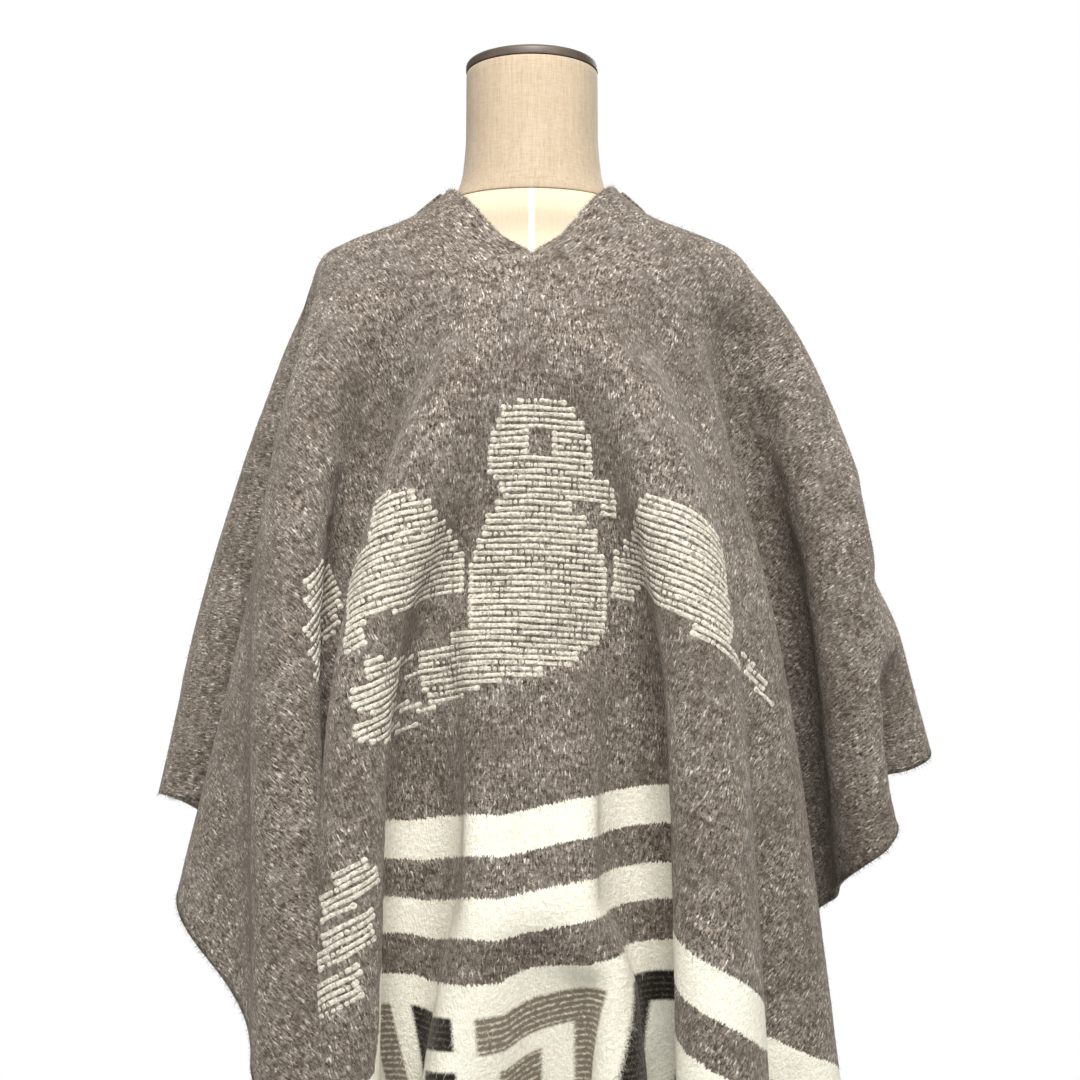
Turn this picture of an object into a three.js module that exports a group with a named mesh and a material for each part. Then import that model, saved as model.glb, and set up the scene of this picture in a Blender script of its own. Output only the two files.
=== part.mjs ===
// A hooded poncho of thick felted wool on a limbless dress form with a round metal stand.
// Millimetres, +Z up. The origin is on the floor under the middle of the base, and the front faces -Y.
import * as THREE from "three";

// Driving sizes of the cloth as it is cut, laid flat: X across, Y along, front at -Y.
const THREAD = 26;
const COLUMNS = 26;
const FRONT_ROWS = 40;
const SLIT_ROWS = 5;
const WALL = 3;
const SEAM_GAP = 0.3;

// Driving sizes of the dress form and its stand.
const FORM_BOTTOM = 740;
const NECK_TOP = 1537.7;
const CAP = { bottom: 1538, top: 1547, radius: 62, edge: 4 };
const COLLAR = { bottom: 700, top: 739.7, radius: 30 };
const POLE = { bottom: 26.3, top: 699.7, radius: 14 };
const BASE = { rim: 6, top: 26, radius: 175, hub: 32 };

// How far the resting cloth stays off the form's stated girths, and how far its hidden part lies in.
const CLOTH_CLEAR = 6;
const HIDDEN_INSET = 8;

// A table's rows become objects with the named columns.
function named(columns, table) {
  return table.map((row) => Object.fromEntries(columns.map((name, i) => [name, row[i]])));
}

// Girth of the form: half width, and depth to the front and to the back, at each height.
const GIRTHS = named(["z", "side", "front", "back"], [
  [740, 120, 84, 88],
  [770, 152, 104, 112],
  [810, 166, 112, 122],
  [860, 170, 112, 126],
  [930, 152, 102, 108],
  [1000, 122, 92, 88],
  [1060, 124, 98, 88],
  [1130, 136, 108, 96],
  [1190, 147, 122, 101],
  [1235, 154, 131, 104],
  [1280, 163, 122, 105],
  [1320, 192, 104, 102],
  [1342, 203, 90, 92],
  [1355, 200, 82, 84],
  [1366, 188, 77, 79],
  [1378, 164, 73, 75],
  [1394, 116, 70, 72],
  [1405, 90, 68, 70],
  [1415, 75, 66, 68],
  [1434, 66, 64, 66],
  [1470, 62, 62, 62],
  [1545, 61.6, 61.6, 61.6],
]);

// One row for each fold line of the cloth, from straight down the middle (0) to along the shoulder (90).
// turn: its angle on the flat cloth. leave: where it leaves the form, reach: the cloth used up to there.
// near and far: how far aside and out from the middle it hangs, 450 and 700 along the cloth.
const FOLD_COLUMNS = [
  "turn", "leaveSide", "leaveOut", "leaveZ", "reach", "nearSide", "nearOut", "farSide", "farOut",
];
const NEAR = 450;
const FAR = 700;
const FRONT_RIGHT = named(FOLD_COLUMNS, [
  [0, 0, 133, 1235, 275, 0, 148, 0, 148],
  [8, 40, 134, 1238, 262, 60, 150, 60, 196],
  [15, 85, 122, 1250, 235, 112, 138, 110, 130],
  [24, 112, 105, 1270, 200, 128, 208, 131, 258],
  [38, 140, 85, 1300, 165, 172, 145, 190, 150],
  [50, 158, 66, 1320, 145, 228, 52, 250, 60],
  [59, 175, 52, 1335, 138, 236, -10, 240, -50],
  [72, 190, 32, 1350, 132, 288, 76, 334, 82],
  [80, 202, 18, 1358, 130, 250, 6, 286, -6],
  [90, 206, 0, 1366, 129, 300, 0, 384, 0],
]);
const FRONT_LEFT = named(FOLD_COLUMNS, [
  [0, 0, 133, 1235, 275, 0, 148, 0, 148],
  [7, 35, 134, 1237, 265, 50, 160, 58, 196],
  [15, 85, 122, 1250, 235, 112, 138, 110, 130],
  [24, 112, 105, 1270, 200, 140, 208, 142, 260],
  [38, 140, 85, 1300, 165, 170, 102, 174, 104],
  [50, 158, 66, 1320, 145, 193, 188, 170, 250],
  [70, 188, 34, 1348, 133, 262, 60, 322, 80],
  [80, 206, 18, 1358, 130, 212, -10, 262, -20],
  [90, 211, 0, 1366, 129, 246, 0, 364, 0],
]);
const BACK_FOLDS = named(FOLD_COLUMNS, [
  [0, 0, 106, 1280, 250, 0, 145, 0, 190],
  [10, 50, 104, 1280, 235, 66, 105, 90, 110],
  [22, 100, 96, 1285, 195, 112, 185, 130, 260],
  [36, 135, 84, 1300, 165, 165, 100, 185, 105],
  [48, 155, 68, 1318, 148, 235, 165, 275, 225],
  [60, 178, 50, 1338, 138, 235, 70, 262, 75],
  [73, 190, 30, 1350, 132, 290, 80, 348, 110],
  [82, 204, 16, 1358, 130, 250, 25, 300, 30],
]);

// Straight-line value of one column of a table at a key.
function tableValue(table, key, at, column) {
  const last = table.length - 1;
  if (at <= table[0][key]) return table[0][column];
  if (at >= table[last][key]) return table[last][column];
  let i = 0;
  while (table[i + 1][key] < at) i += 1;
  const share = (at - table[i][key]) / (table[i + 1][key] - table[i][key]);
  return table[i][column] + (table[i + 1][column] - table[i][column]) * share;
}

// The girths every millimetre of height, rounded off by a running mean.
const GIRTH_COUNT = 806;
const ROUNDING = 12;
function girthColumn(column) {
  const plain = [];
  for (let i = 0; i < GIRTH_COUNT; i += 1) plain.push(tableValue(GIRTHS, "z", FORM_BOTTOM + i, column));
  return plain.map((_, i) => {
    let sum = 0;
    for (let k = -ROUNDING; k <= ROUNDING; k += 1) {
      sum += plain[Math.min(Math.max(i + k, 0), GIRTH_COUNT - 1)];
    }
    return sum / (2 * ROUNDING + 1);
  });
}
const SIDE = girthColumn("side");
const FRONT = girthColumn("front");
const BACK = girthColumn("back");

// The cloth's points: [side, row, column], side 0 at -X. Row 0 is the front hem.
const ROWS = 2 * FRONT_ROWS + 1;
const POINTS = 2 * ROWS * COLUMNS;
const at = (side, row, column) => ((side * ROWS + row) * COLUMNS + column) * 3;
const isSewn = (row) => Math.abs(row - FRONT_ROWS) >= SLIT_ROWS;

// The share of a fold row's turn that a point of the flat cloth has, without angles: 0 to 1.
function turnShare(degrees) {
  if (degrees >= 90) return 1;
  const slope = Math.tan((degrees * Math.PI) / 180);
  return slope / (1 + slope);
}
for (const table of [FRONT_RIGHT, FRONT_LEFT, BACK_FOLDS]) {
  for (const row of table) row.share = turnShare(row.turn);
}

// Front and back share the fold line of the shoulder, so each side of the back ends with the front's.
const BACK_RIGHT = [...BACK_FOLDS, FRONT_RIGHT.at(-1)];
const BACK_LEFT = [...BACK_FOLDS, FRONT_LEFT.at(-1)];

// Where a point of the flat cloth hangs before it settles: over the form, then along its fold line.
const NECK_SIDE = { side: 86, z: 1408 };
const NECK_FRONT = { out: 70, z: 1372, reach: 110 };
const LIFT = 6;
function hang(table, across, along) {
  const reach = Math.sqrt(across * across + along * along);
  const share = reach < 1 ? 1 : across / (across + Math.abs(along) + 1e-9);
  const f = {};
  for (const column of FOLD_COLUMNS) f[column] = tableValue(table, "share", share, column);
  const blend = Math.min(1, share * 2.5);
  const midSide = f.leaveSide * blend;
  const midOut = NECK_FRONT.out + (f.leaveOut - NECK_FRONT.out) * blend;
  const midZ = NECK_FRONT.z + (f.leaveZ - NECK_FRONT.z) * blend;
  const toMid = Math.min(reach / NECK_FRONT.reach, 1);
  const clip = (v) => Math.min(Math.max(v, 0), 1);
  const toLeave = clip((reach - NECK_FRONT.reach) / Math.max(f.reach - NECK_FRONT.reach, 1));
  const toNear = clip((reach - f.reach) / (NEAR - f.reach));
  const toFar = Math.max((reach - NEAR) / (FAR - NEAR), 0);
  const drop = (length, side, out) => Math.sqrt(Math.max(length ** 2 - side ** 2 - out ** 2, 1));
  const nearDrop = drop(NEAR - f.reach, f.nearSide - f.leaveSide, f.nearOut - f.leaveOut);
  const farDrop = drop(FAR - NEAR, f.farSide - f.nearSide, f.farOut - f.nearOut);
  return {
    side: NECK_SIDE.side + (midSide - NECK_SIDE.side) * toMid + (f.leaveSide - midSide) * toLeave
      + (f.nearSide - f.leaveSide) * toNear + (f.farSide - f.nearSide) * toFar,
    out: midOut * toMid + (f.leaveOut - midOut) * toLeave
      + (f.nearOut - f.leaveOut) * toNear + (f.farOut - f.nearOut) * toFar,
    z: NECK_SIDE.z + (midZ - NECK_SIDE.z) * toMid + (f.leaveZ - midZ) * toLeave
      - nearDrop * toNear - farDrop * toFar + LIFT,
  };
}

// The settling: points tied to their neighbours at cloth distance, pulled down, kept off the form.
// hold draws a point back to where it was hung. The felted edge at the neck's sides holds more firmly.
const SETTLE = { steps: 150, passes: 16, gravity: 0.2, keep: 0.95, fastest: 3, grip: 0.2, hold: 0.05 };
const NECK_HELD = { reach: 40, hold: 0.3 };
const DIAGONAL = THREAD * Math.sqrt(2);
const APART = 24;
const TIES = named(["down", "over", "length", "strength", "onlyPush"], [
  [0, 1, THREAD, 1, false],
  [1, 0, THREAD, 1, false],
  [1, 1, DIAGONAL, 0.3, false],
  [1, -1, DIAGONAL, 0.3, false],
  [0, 2, 2 * THREAD, 0.06, true],
  [2, 0, 2 * THREAD, 0.06, true],
  [0, 4, 4 * THREAD, 0.01, true],
  [4, 0, 4 * THREAD, 0.01, true],
  [0, 4, APART, 0.5, true],
  [0, 6, APART, 0.5, true],
  [2, 4, APART, 0.5, true],
  [2, -4, APART, 0.5, true],
  [2, 6, APART, 0.5, true],
  [2, -6, APART, 0.5, true],
]);

function tie(points, a, b, length, strength, onlyPush) {
  const dx = points[b] - points[a];
  const dy = points[b + 1] - points[a + 1];
  const dz = points[b + 2] - points[a + 2];
  const span = Math.sqrt(dx * dx + dy * dy + dz * dz) + 1e-9;
  if (onlyPush && span >= length) return;
  const share = ((span - length) / span) * strength * 0.5;
  points[a] += dx * share;
  points[a + 1] += dy * share;
  points[a + 2] += dz * share;
  points[b] -= dx * share;
  points[b + 1] -= dy * share;
  points[b + 2] -= dz * share;
}

function tieAll(points, t) {
  const step = t.down > 0 ? t.down : t.over;
  for (let start = 0; start < 2 * step; start += 1) {
    const rowStart = t.down > 0 ? start : 0;
    const rowStep = t.down > 0 ? 2 * step : 1;
    const columnStart = t.down > 0 ? Math.max(-t.over, 0) : start;
    const columnStep = t.down > 0 ? 1 : 2 * step;
    for (let side = 0; side < 2; side += 1) {
      for (let row = rowStart; row + t.down < ROWS; row += rowStep) {
        for (let column = columnStart; column < COLUMNS; column += columnStep) {
          const over = column + t.over;
          if (over >= COLUMNS || over < 0) continue;
          tie(points, at(side, row, column), at(side, row + t.down, over), t.length, t.strength, t.onlyPush);
        }
      }
    }
  }
}

// Left and right of the middle are one cloth outside the head slit.
const ACROSS_MIDDLE = 0.4;
function joinMiddle(points) {
  for (let row = 0; row < ROWS; row += 1) {
    if (!isSewn(row)) continue;
    tie(points, at(0, row, 1), at(1, row, 1), 2 * THREAD, ACROSS_MIDDLE, true);
    tie(points, at(0, row, 2), at(1, row, 2), 4 * THREAD, ACROSS_MIDDLE, true);
    const left = at(0, row, 0);
    const right = at(1, row, 0);
    for (let k = 0; k < 3; k += 1) {
      const middle = (points[left + k] + points[right + k]) * 0.5;
      points[left + k] = middle;
      points[right + k] = middle;
    }
  }
}

// A point inside the form's girth moves out of it, at most MOST at a time.
const MOST = 10;
function keepOffForm(points, touches) {
  for (let n = 0; n < POINTS; n += 1) {
    const p = 3 * n;
    const x = points[p];
    const y = points[p + 1];
    const z = points[p + 2];
    touches[n] = 0;
    if (z <= FORM_BOTTOM || z >= FORM_BOTTOM + GIRTH_COUNT - 1) continue;
    const level = Math.min(z - FORM_BOTTOM, GIRTH_COUNT - 2);
    const i = Math.floor(level);
    const t = level - i;
    const depths = y < 0 ? FRONT : BACK;
    const side = SIDE[i] * (1 - t) + SIDE[i + 1] * t + CLOTH_CLEAR;
    const depth = depths[i] * (1 - t) + depths[i + 1] * t + CLOTH_CLEAR;
    const sideRise = SIDE[i + 1] - SIDE[i];
    const depthRise = depths[i + 1] - depths[i];
    const inside = (x / side) ** 2 + (y / depth) ** 2 - 1;
    if (inside >= 0) continue;
    const gx = (2 * x) / side ** 2;
    const gy = (2 * y) / depth ** 2;
    const gz = (-2 * x * x * sideRise) / side ** 3 - (2 * y * y * depthRise) / depth ** 3;
    const slope = gx * gx + gy * gy + gz * gz + 1e-12;
    let move = -inside / slope;
    const length = Math.abs(move) * Math.sqrt(slope);
    if (length > MOST) move *= MOST / length;
    points[p] = x + move * gx;
    points[p + 1] = y + move * gy;
    points[p + 2] = z + move * gz;
    touches[n] = 1;
  }
}

function settledCloth() {
  const points = new Float64Array(3 * POINTS);
  const holds = new Float64Array(POINTS);
  for (let side = 0; side < 2; side += 1) {
    const frontTable = side === 0 ? FRONT_LEFT : FRONT_RIGHT;
    const backTable = side === 0 ? BACK_LEFT : BACK_RIGHT;
    for (let row = 0; row < ROWS; row += 1) {
      for (let column = 0; column < COLUMNS; column += 1) {
        const across = column * THREAD;
        const along = (row - FRONT_ROWS) * THREAD;
        const isFront = along < 0;
        const place = hang(isFront ? frontTable : backTable, across, along);
        const isAtNeck = Math.sqrt(across * across + along * along) < NECK_HELD.reach;
        const p = at(side, row, column);
        holds[p / 3] = isAtNeck ? NECK_HELD.hold : SETTLE.hold;
        points[p] = side === 0 ? -place.side : place.side;
        points[p + 1] = isFront ? -place.out : place.out;
        points[p + 2] = place.z;
      }
    }
  }
  const hung = points.slice();
  const speed = new Float64Array(3 * POINTS);
  const touches = new Uint8Array(POINTS);
  for (let step = 0; step < SETTLE.steps; step += 1) {
    const before = points.slice();
    for (let k = 0; k < 3 * POINTS; k += 1) {
      points[k] += speed[k] * SETTLE.keep;
      if (k % 3 === 2) points[k] -= SETTLE.gravity;
    }
    for (let pass = 0; pass < SETTLE.passes; pass += 1) {
      for (const t of TIES) tieAll(points, t);
      joinMiddle(points);
      keepOffForm(points, touches);
    }
    for (let n = 0; n < POINTS; n += 1) {
      const p = 3 * n;
      points[p] += (hung[p] - points[p]) * holds[n];
      points[p + 1] += (hung[p + 1] - points[p + 1]) * holds[n];
      const grip = touches[n] ? SETTLE.grip : 1;
      for (let k = p; k < p + 3; k += 1) speed[k] = (points[k] - before[k]) * grip;
      const fast = Math.sqrt(speed[p] ** 2 + speed[p + 1] ** 2 + speed[p + 2] ** 2) + 1e-9;
      if (fast > SETTLE.fastest) {
        for (let k = p; k < p + 3; k += 1) speed[k] *= SETTLE.fastest / fast;
      }
    }
  }
  keepOffForm(points, touches);
  return points;
}
const CLOTH = settledCloth();

// A point of the settled cloth at any place of the flat cloth, straight between its four neighbours.
function clothPoint(across, along) {
  const side = across < 0 ? 0 : 1;
  const u = Math.min(Math.abs(across) / THREAD, COLUMNS - 1.0001);
  const v = Math.min(Math.max(along / THREAD + FRONT_ROWS, 0), ROWS - 1.0001);
  const column = Math.floor(u);
  const row = Math.floor(v);
  const corner = (r, c) => new THREE.Vector3().fromArray(CLOTH, at(side, r, c));
  const near = corner(row, column).lerp(corner(row, column + 1), u - column);
  const far = corner(row + 1, column).lerp(corner(row + 1, column + 1), u - column);
  return near.lerp(far, v - row);
}

// The cloth's outward direction at a place of the flat cloth, from points a short step around it that
// lie on the same side of the head slit.
function clothNormal(across, along) {
  const step = THREAD * 0.6;
  const slitHalf = SLIT_ROWS * THREAD;
  const isNearMiddle = Math.abs(across) < step;
  const isInSlit = isNearMiddle && Math.abs(along) < slitHalf;
  const isPastSlit = isNearMiddle && !isInSlit && Math.abs(along) - step < slitHalf;
  const left = isInSlit && across >= 0 ? across : across - step;
  const right = isInSlit && across < 0 ? across : across + step;
  const front = isPastSlit && along > 0 ? along : along - step;
  const back = isPastSlit && along < 0 ? along : along + step;
  const over = clothPoint(right, along).sub(clothPoint(left, along));
  const backward = clothPoint(across, front).sub(clothPoint(across, back));
  return backward.cross(over).normalize();
}

// A wall is made round a sheet of points: outer and inner skins, joined along every open edge.
class Sheet {
  constructor() {
    this.middles = [];
    this.normals = [];
    this.depths = [];
    this.faces = [];
  }

  // depth is how many half walls the inner skin lies in, more than one in the corner of a sharp fold.
  add(middle, normal, depth = 1) {
    this.middles.push(middle);
    this.normals.push(normal);
    this.depths.push(depth);
    return this.middles.length - 1;
  }

  // A bent quad is split along its longer diagonal, which is the one that lies along a fold.
  quad(a, b, c, d) {
    const span = (from, to) => this.middles[from].distanceTo(this.middles[to]);
    if (span(a, c) > span(b, d)) this.faces.push([a, b, c], [a, c, d]);
    else this.faces.push([a, b, d], [b, c, d]);
  }

  // Normals worked out from the sheet's own faces.
  faceNormals() {
    const sums = this.middles.map(() => new THREE.Vector3());
    for (const face of this.faces) {
      const [a, b, c] = face.map((i) => this.middles[i]);
      const across = c.clone().sub(a);
      const normal = b.clone().sub(a).cross(across).normalize();
      face.forEach((i) => sums[i].add(normal));
    }
    this.normals = sums.map((sum) => sum.normalize());
  }

  wall(thickness) {
    const count = this.middles.length;
    const positions = [];
    for (const isInner of [false, true]) {
      this.middles.forEach((middle, i) => {
        const share = isInner ? -0.5 * this.depths[i] : 0.5;
        const point = middle.clone().addScaledVector(this.normals[i], share * thickness);
        positions.push(point.x, point.y, point.z);
      });
    }
    const index = [];
    const edges = new Map();
    for (const [a, b, c] of this.faces) {
      index.push(a, b, c, count + a, count + c, count + b);
      for (const [from, to] of [[a, b], [b, c], [c, a]]) edges.set(`${from} ${to}`, [from, to]);
    }
    for (const [from, to] of edges.values()) {
      if (edges.has(`${to} ${from}`)) continue;
      index.push(to, from, count + from, to, count + from, count + to);
    }
    return solid(positions, index);
  }
}

function solid(positions, index) {
  const geometry = new THREE.BufferGeometry();
  geometry.setAttribute("position", new THREE.Float32BufferAttribute(positions, 3));
  geometry.setIndex(index);
  geometry.computeVertexNormals();
  return geometry;
}

// The rows of a panel's solid: every thread row near the shoulders, every second one lower down.
const CLOSE_ROWS = 12;
function panelRows() {
  const rows = [SEAM_GAP / 2 / THREAD];
  for (let row = 1; row <= CLOSE_ROWS; row += 1) rows.push(row);
  for (let row = CLOSE_ROWS + 2; row <= FRONT_ROWS; row += 2) rows.push(row);
  return rows;
}

// A panel hangs from the shoulder seam at flat row 0 to its hem, split in the middle along the head slit.
function panel(toward) {
  const sheet = new Sheet();
  const grid = panelRows().map((row) => {
    const along = toward * row * THREAD;
    const ids = [];
    for (let column = -(COLUMNS - 1); column < COLUMNS; column += 1) {
      if (column === 0 && row < SLIT_ROWS) {
        for (const side of [-1e-6, 1e-6]) {
          ids.push(sheet.add(clothPoint(side, along), clothNormal(side, along)));
        }
      } else {
        const across = column * THREAD;
        const id = sheet.add(clothPoint(across, along), clothNormal(across, along));
        ids.push(id);
        if (column === 0) ids.push(id);
      }
    }
    return ids;
  });
  for (let r = 0; r + 1 < grid.length; r += 1) {
    for (let c = 0; c + 1 < grid[r].length; c += 1) {
      if (c === COLUMNS - 1) continue;
      const corners = [grid[r][c], grid[r][c + 1], grid[r + 1][c + 1], grid[r + 1][c]];
      if (toward > 0) corners.reverse();
      sheet.quad(...corners.reverse());
    }
  }
  return sheet.wall(WALL);
}

// The hood lies down the back as an emptied bag, open round the neck: an inner layer that lies on the
// back panel, and an outer layer that stands off it. along: flat distance down the back. half: half
// width there. off: how far the inner layer's middle is from the panel's, which has folds lower down.
// open: how far the layers stand apart in the middle. lift: how far the outer one rises.
// even: how much the layers face straight back in place of following the panel's folds.
const HOOD = { wall: 2.6, columns: 6, edgeIn: 4, fullness: 2.2, cornerDepth: 1.2 };
const HOOD_BACKWARD = new THREE.Vector3(0, 0.96, 0.28);
const HOOD_SHAPE = named(["along", "half", "off", "open", "lift", "even"], [
  [12, 36, 6, 4, 0, 0],
  [34, 60, 6, 13, 2, 0],
  [72, 84, 6, 24, 3, 0],
  [130, 102, 6.5, 33, 2, 0.5],
  [160, 106, 10, 34, 0, 1],
  [200, 102, 14, 33, 0, 2],
  [240, 88, 17, 28, 0, 3],
  [272, 68, 19, 24, 0, 3],
  [296, 46, 19, 20, 0, 3],
  [310, 24, 19, 0, 0, 3],
]);
const HOOD_ROWS = [
  12, 34, 53, 72, 91, 110, 130, 150, 170, 190, 210, 232, 252, 272, 285, 297, 310,
].map((along) => {
  const row = { along };
  for (const column of ["half", "off", "open", "lift", "even"]) row[column] = tableValue(HOOD_SHAPE, "along", along, column);
  return row;
});

// The flat place of a hood point, share 0 at the middle or the slit's edge and 1 at the hood's side.
function hoodAcross(row, share, side) {
  const start = row.along < SLIT_ROWS * THREAD ? HOOD.edgeIn : 0;
  return side * Math.max(start + (row.half - start) * share, 1e-6);
}

function hoodPoint(row, share, side, isOuter) {
  const across = hoodAcross(row, share, side);
  const normal = clothNormal(across, row.along).addScaledVector(HOOD_BACKWARD, row.even).normalize();
  const bulge = isOuter ? Math.sqrt(Math.max(1 - share ** HOOD.fullness, 0)) : 0;
  const point = clothPoint(across, row.along).addScaledVector(normal, row.off + row.open * bulge);
  point.z += row.lift * bulge;
  return point;
}

function hood() {
  const sheet = new Sheet();
  const last = HOOD_ROWS.length - 1;
  const inner = [];
  const outer = [];
  HOOD_ROWS.forEach((row, r) => {
    inner.push([]);
    outer.push([]);
    for (const side of [-1, 1]) {
      for (let step = 0; step <= HOOD.columns; step += 1) {
        const c = side < 0 ? HOOD.columns - step : step;
        const share = c / HOOD.columns;
        const isMiddle = c === 0 && row.along >= SLIT_ROWS * THREAD;
        if (isMiddle && side > 0) {
          inner[r].push(inner[r].at(-1));
          outer[r].push(outer[r].at(-1));
          continue;
        }
        const isFold = c === HOOD.columns || r === last;
        const id = sheet.add(hoodPoint(row, share, side, false), null, isFold ? HOOD.cornerDepth : 1);
        inner[r].push(id);
        outer[r].push(isFold ? id : sheet.add(hoodPoint(row, share, side, true), null));
      }
    }
  });
  for (let r = 0; r < last; r += 1) {
    for (let c = 0; c + 1 < inner[r].length; c += 1) {
      if (c === HOOD.columns) continue;
      sheet.quad(inner[r][c], inner[r + 1][c], inner[r + 1][c + 1], inner[r][c + 1]);
      sheet.quad(outer[r][c], outer[r][c + 1], outer[r + 1][c + 1], outer[r + 1][c]);
    }
  }
  sheet.faceNormals();
  return sheet.wall(HOOD.wall);
}

// The form between two heights: rings of its girth, closed at both ends.
const FORM_SIDES = 32;
const SEEN_FROM = 1400;
const SEEN_BLEND = 25;
function formPiece(heights) {
  const positions = [];
  const index = [];
  for (const z of heights) {
    const i = Math.min(Math.round(z - FORM_BOTTOM), GIRTH_COUNT - 1);
    const inset = HIDDEN_INSET * Math.min(Math.max((SEEN_FROM - z) / SEEN_BLEND, 0), 1);
    for (let k = 0; k < FORM_SIDES; k += 1) {
      const angle = (2 * Math.PI * k) / FORM_SIDES;
      const depth = Math.sin(angle) < 0 ? FRONT[i] : BACK[i];
      positions.push((SIDE[i] - inset) * Math.cos(angle), (depth - inset) * Math.sin(angle), z);
    }
  }
  const rings = heights.length;
  for (let r = 0; r + 1 < rings; r += 1) {
    for (let k = 0; k < FORM_SIDES; k += 1) {
      const next = (k + 1) % FORM_SIDES;
      const low = r * FORM_SIDES;
      const high = low + FORM_SIDES;
      index.push(low + k, low + next, high + next, low + k, high + next, high + k);
    }
  }
  for (const [ring, z, turn] of [[0, heights[0], -1], [rings - 1, heights[rings - 1], 1]]) {
    const middle = positions.length / 3;
    positions.push(0, 0, z);
    for (let k = 0; k < FORM_SIDES; k += 1) {
      const a = ring * FORM_SIDES + k;
      const b = ring * FORM_SIDES + ((k + 1) % FORM_SIDES);
      if (turn > 0) index.push(middle, a, b);
      else index.push(middle, b, a);
    }
  }
  return solid(positions, index);
}

// The linen cover has a seam round the neck's foot, so torso and neck are two pieces there.
const NECK_SEAM = 1416;
const TORSO_HEIGHTS = [
  FORM_BOTTOM, 752, 775, 815, 860, 905, 950, 1000, 1050, 1100, 1150, 1195, 1235, 1275, 1310,
  1332, 1344, 1352, 1360, 1368, 1378, 1388, 1397, 1406, NECK_SEAM - SEAM_GAP / 2,
];
const NECK_HEIGHTS = [NECK_SEAM + SEAM_GAP / 2, 1424, 1436, 1455, 1490, NECK_TOP];

// Turned metal pieces: a profile of [radius, height] points from the axis and back to it.
function turned(profile, sides = 40) {
  const points = profile.map(([radius, height]) => new THREE.Vector2(radius, height));
  const geometry = new THREE.LatheGeometry(points, sides);
  geometry.rotateX(Math.PI / 2);
  return geometry;
}

function roundedDisc({ bottom, top, radius, edge }) {
  const profile = [[0, bottom], [radius, bottom]];
  for (let k = 0; k <= 4; k += 1) {
    const angle = (Math.PI / 2) * (k / 4);
    profile.push([radius - edge * (1 - Math.cos(angle)), top - edge * (1 - Math.sin(angle))]);
  }
  profile.push([0, top]);
  return turned(profile);
}

const plainCylinder = ({ bottom, top, radius }) => (
  turned([[0, bottom], [radius, bottom], [radius, top], [0, top]], 32)
);

// The base rises softly from its rim to the hub that holds the pole.
function standBase() {
  const { rim, top, radius, hub } = BASE;
  const profile = [[0, 0], [radius - 3, 0], [radius, 3], [radius, rim]];
  for (let k = 1; k <= 5; k += 1) {
    const share = k / 5;
    const rise = share * share * (3 - 2 * share);
    profile.push([radius - 4 + (hub - radius + 4) * share, rim + 2 + (top - rim - 2) * rise]);
  }
  profile.push([0, top]);
  return turned(profile);
}

const felt = new THREE.MeshStandardMaterial({ color: 0x7d7268, roughness: 0.95, metalness: 0 });
const linen = new THREE.MeshStandardMaterial({ color: 0xe2ceb2, roughness: 0.9, metalness: 0 });
const darkMetal = new THREE.MeshStandardMaterial({ color: 0x574b41, roughness: 0.45, metalness: 0.7 });

function piece(name, geometry, material) {
  const mesh = new THREE.Mesh(geometry, material);
  mesh.name = name;
  return mesh;
}

const poncho = new THREE.Group();
poncho.add(
  piece("front_panel", panel(-1), felt),
  piece("back_panel", panel(1), felt),
  piece("hood", hood(), felt),
);

const form = new THREE.Group();
form.add(
  piece("form_torso", formPiece(TORSO_HEIGHTS), linen),
  piece("form_neck", formPiece(NECK_HEIGHTS), linen),
  piece("neck_cap", roundedDisc(CAP), darkMetal),
  piece("stand_collar", plainCylinder(COLLAR), darkMetal),
  piece("stand_pole", plainCylinder(POLE), darkMetal),
  piece("stand_base", standBase(), darkMetal),
);

const group = new THREE.Group();
group.add(poncho, form);

export default group;
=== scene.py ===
import math

import bmesh
import bpy
import numpy as np
from mathutils import Matrix, Vector


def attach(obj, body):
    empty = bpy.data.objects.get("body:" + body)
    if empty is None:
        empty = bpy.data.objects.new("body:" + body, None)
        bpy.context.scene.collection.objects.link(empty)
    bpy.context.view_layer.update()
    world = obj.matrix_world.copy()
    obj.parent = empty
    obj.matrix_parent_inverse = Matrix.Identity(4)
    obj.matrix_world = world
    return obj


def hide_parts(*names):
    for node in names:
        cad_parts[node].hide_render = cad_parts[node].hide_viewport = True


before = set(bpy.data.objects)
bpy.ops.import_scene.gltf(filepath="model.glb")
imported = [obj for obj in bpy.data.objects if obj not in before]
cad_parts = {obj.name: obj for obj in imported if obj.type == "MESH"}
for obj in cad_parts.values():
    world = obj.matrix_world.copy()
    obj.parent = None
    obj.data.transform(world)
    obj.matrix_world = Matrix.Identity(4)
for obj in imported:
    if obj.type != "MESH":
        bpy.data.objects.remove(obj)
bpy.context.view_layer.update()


# The camera stands level at chest height, about 1.4 m in front of the form's middle.
# Its angle of view follows from the neck's real width and its width in the square photo.
CAMERA_PLACE = (0.0075, -1.390, 1.100)
SENSOR_MM = 36
FOCAL_PIXELS = 1477
PHOTO_PIXELS = 1080

lens = bpy.data.cameras.new("chest_camera")
lens.sensor_width = SENSOR_MM
lens.lens = SENSOR_MM * FOCAL_PIXELS / PHOTO_PIXELS
camera = bpy.data.objects.new("chest_camera", lens)
camera.location = CAMERA_PLACE
camera.rotation_euler = (math.radians(90), 0, 0)
bpy.context.scene.collection.objects.link(camera)
bpy.context.scene.camera = camera


# The limbless dress form: a light moulded torso and a neck, each under its own tight linen cover.
# The covers meet in a seam round the foot of the neck, and a linen tape runs down the front from it.
MM = 0.001
FORM_BOTTOM, NECK_SEAM, NECK_TOP = 740, 1416, 1537.7
SEAM_HALF_GAP = 0.15
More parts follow.
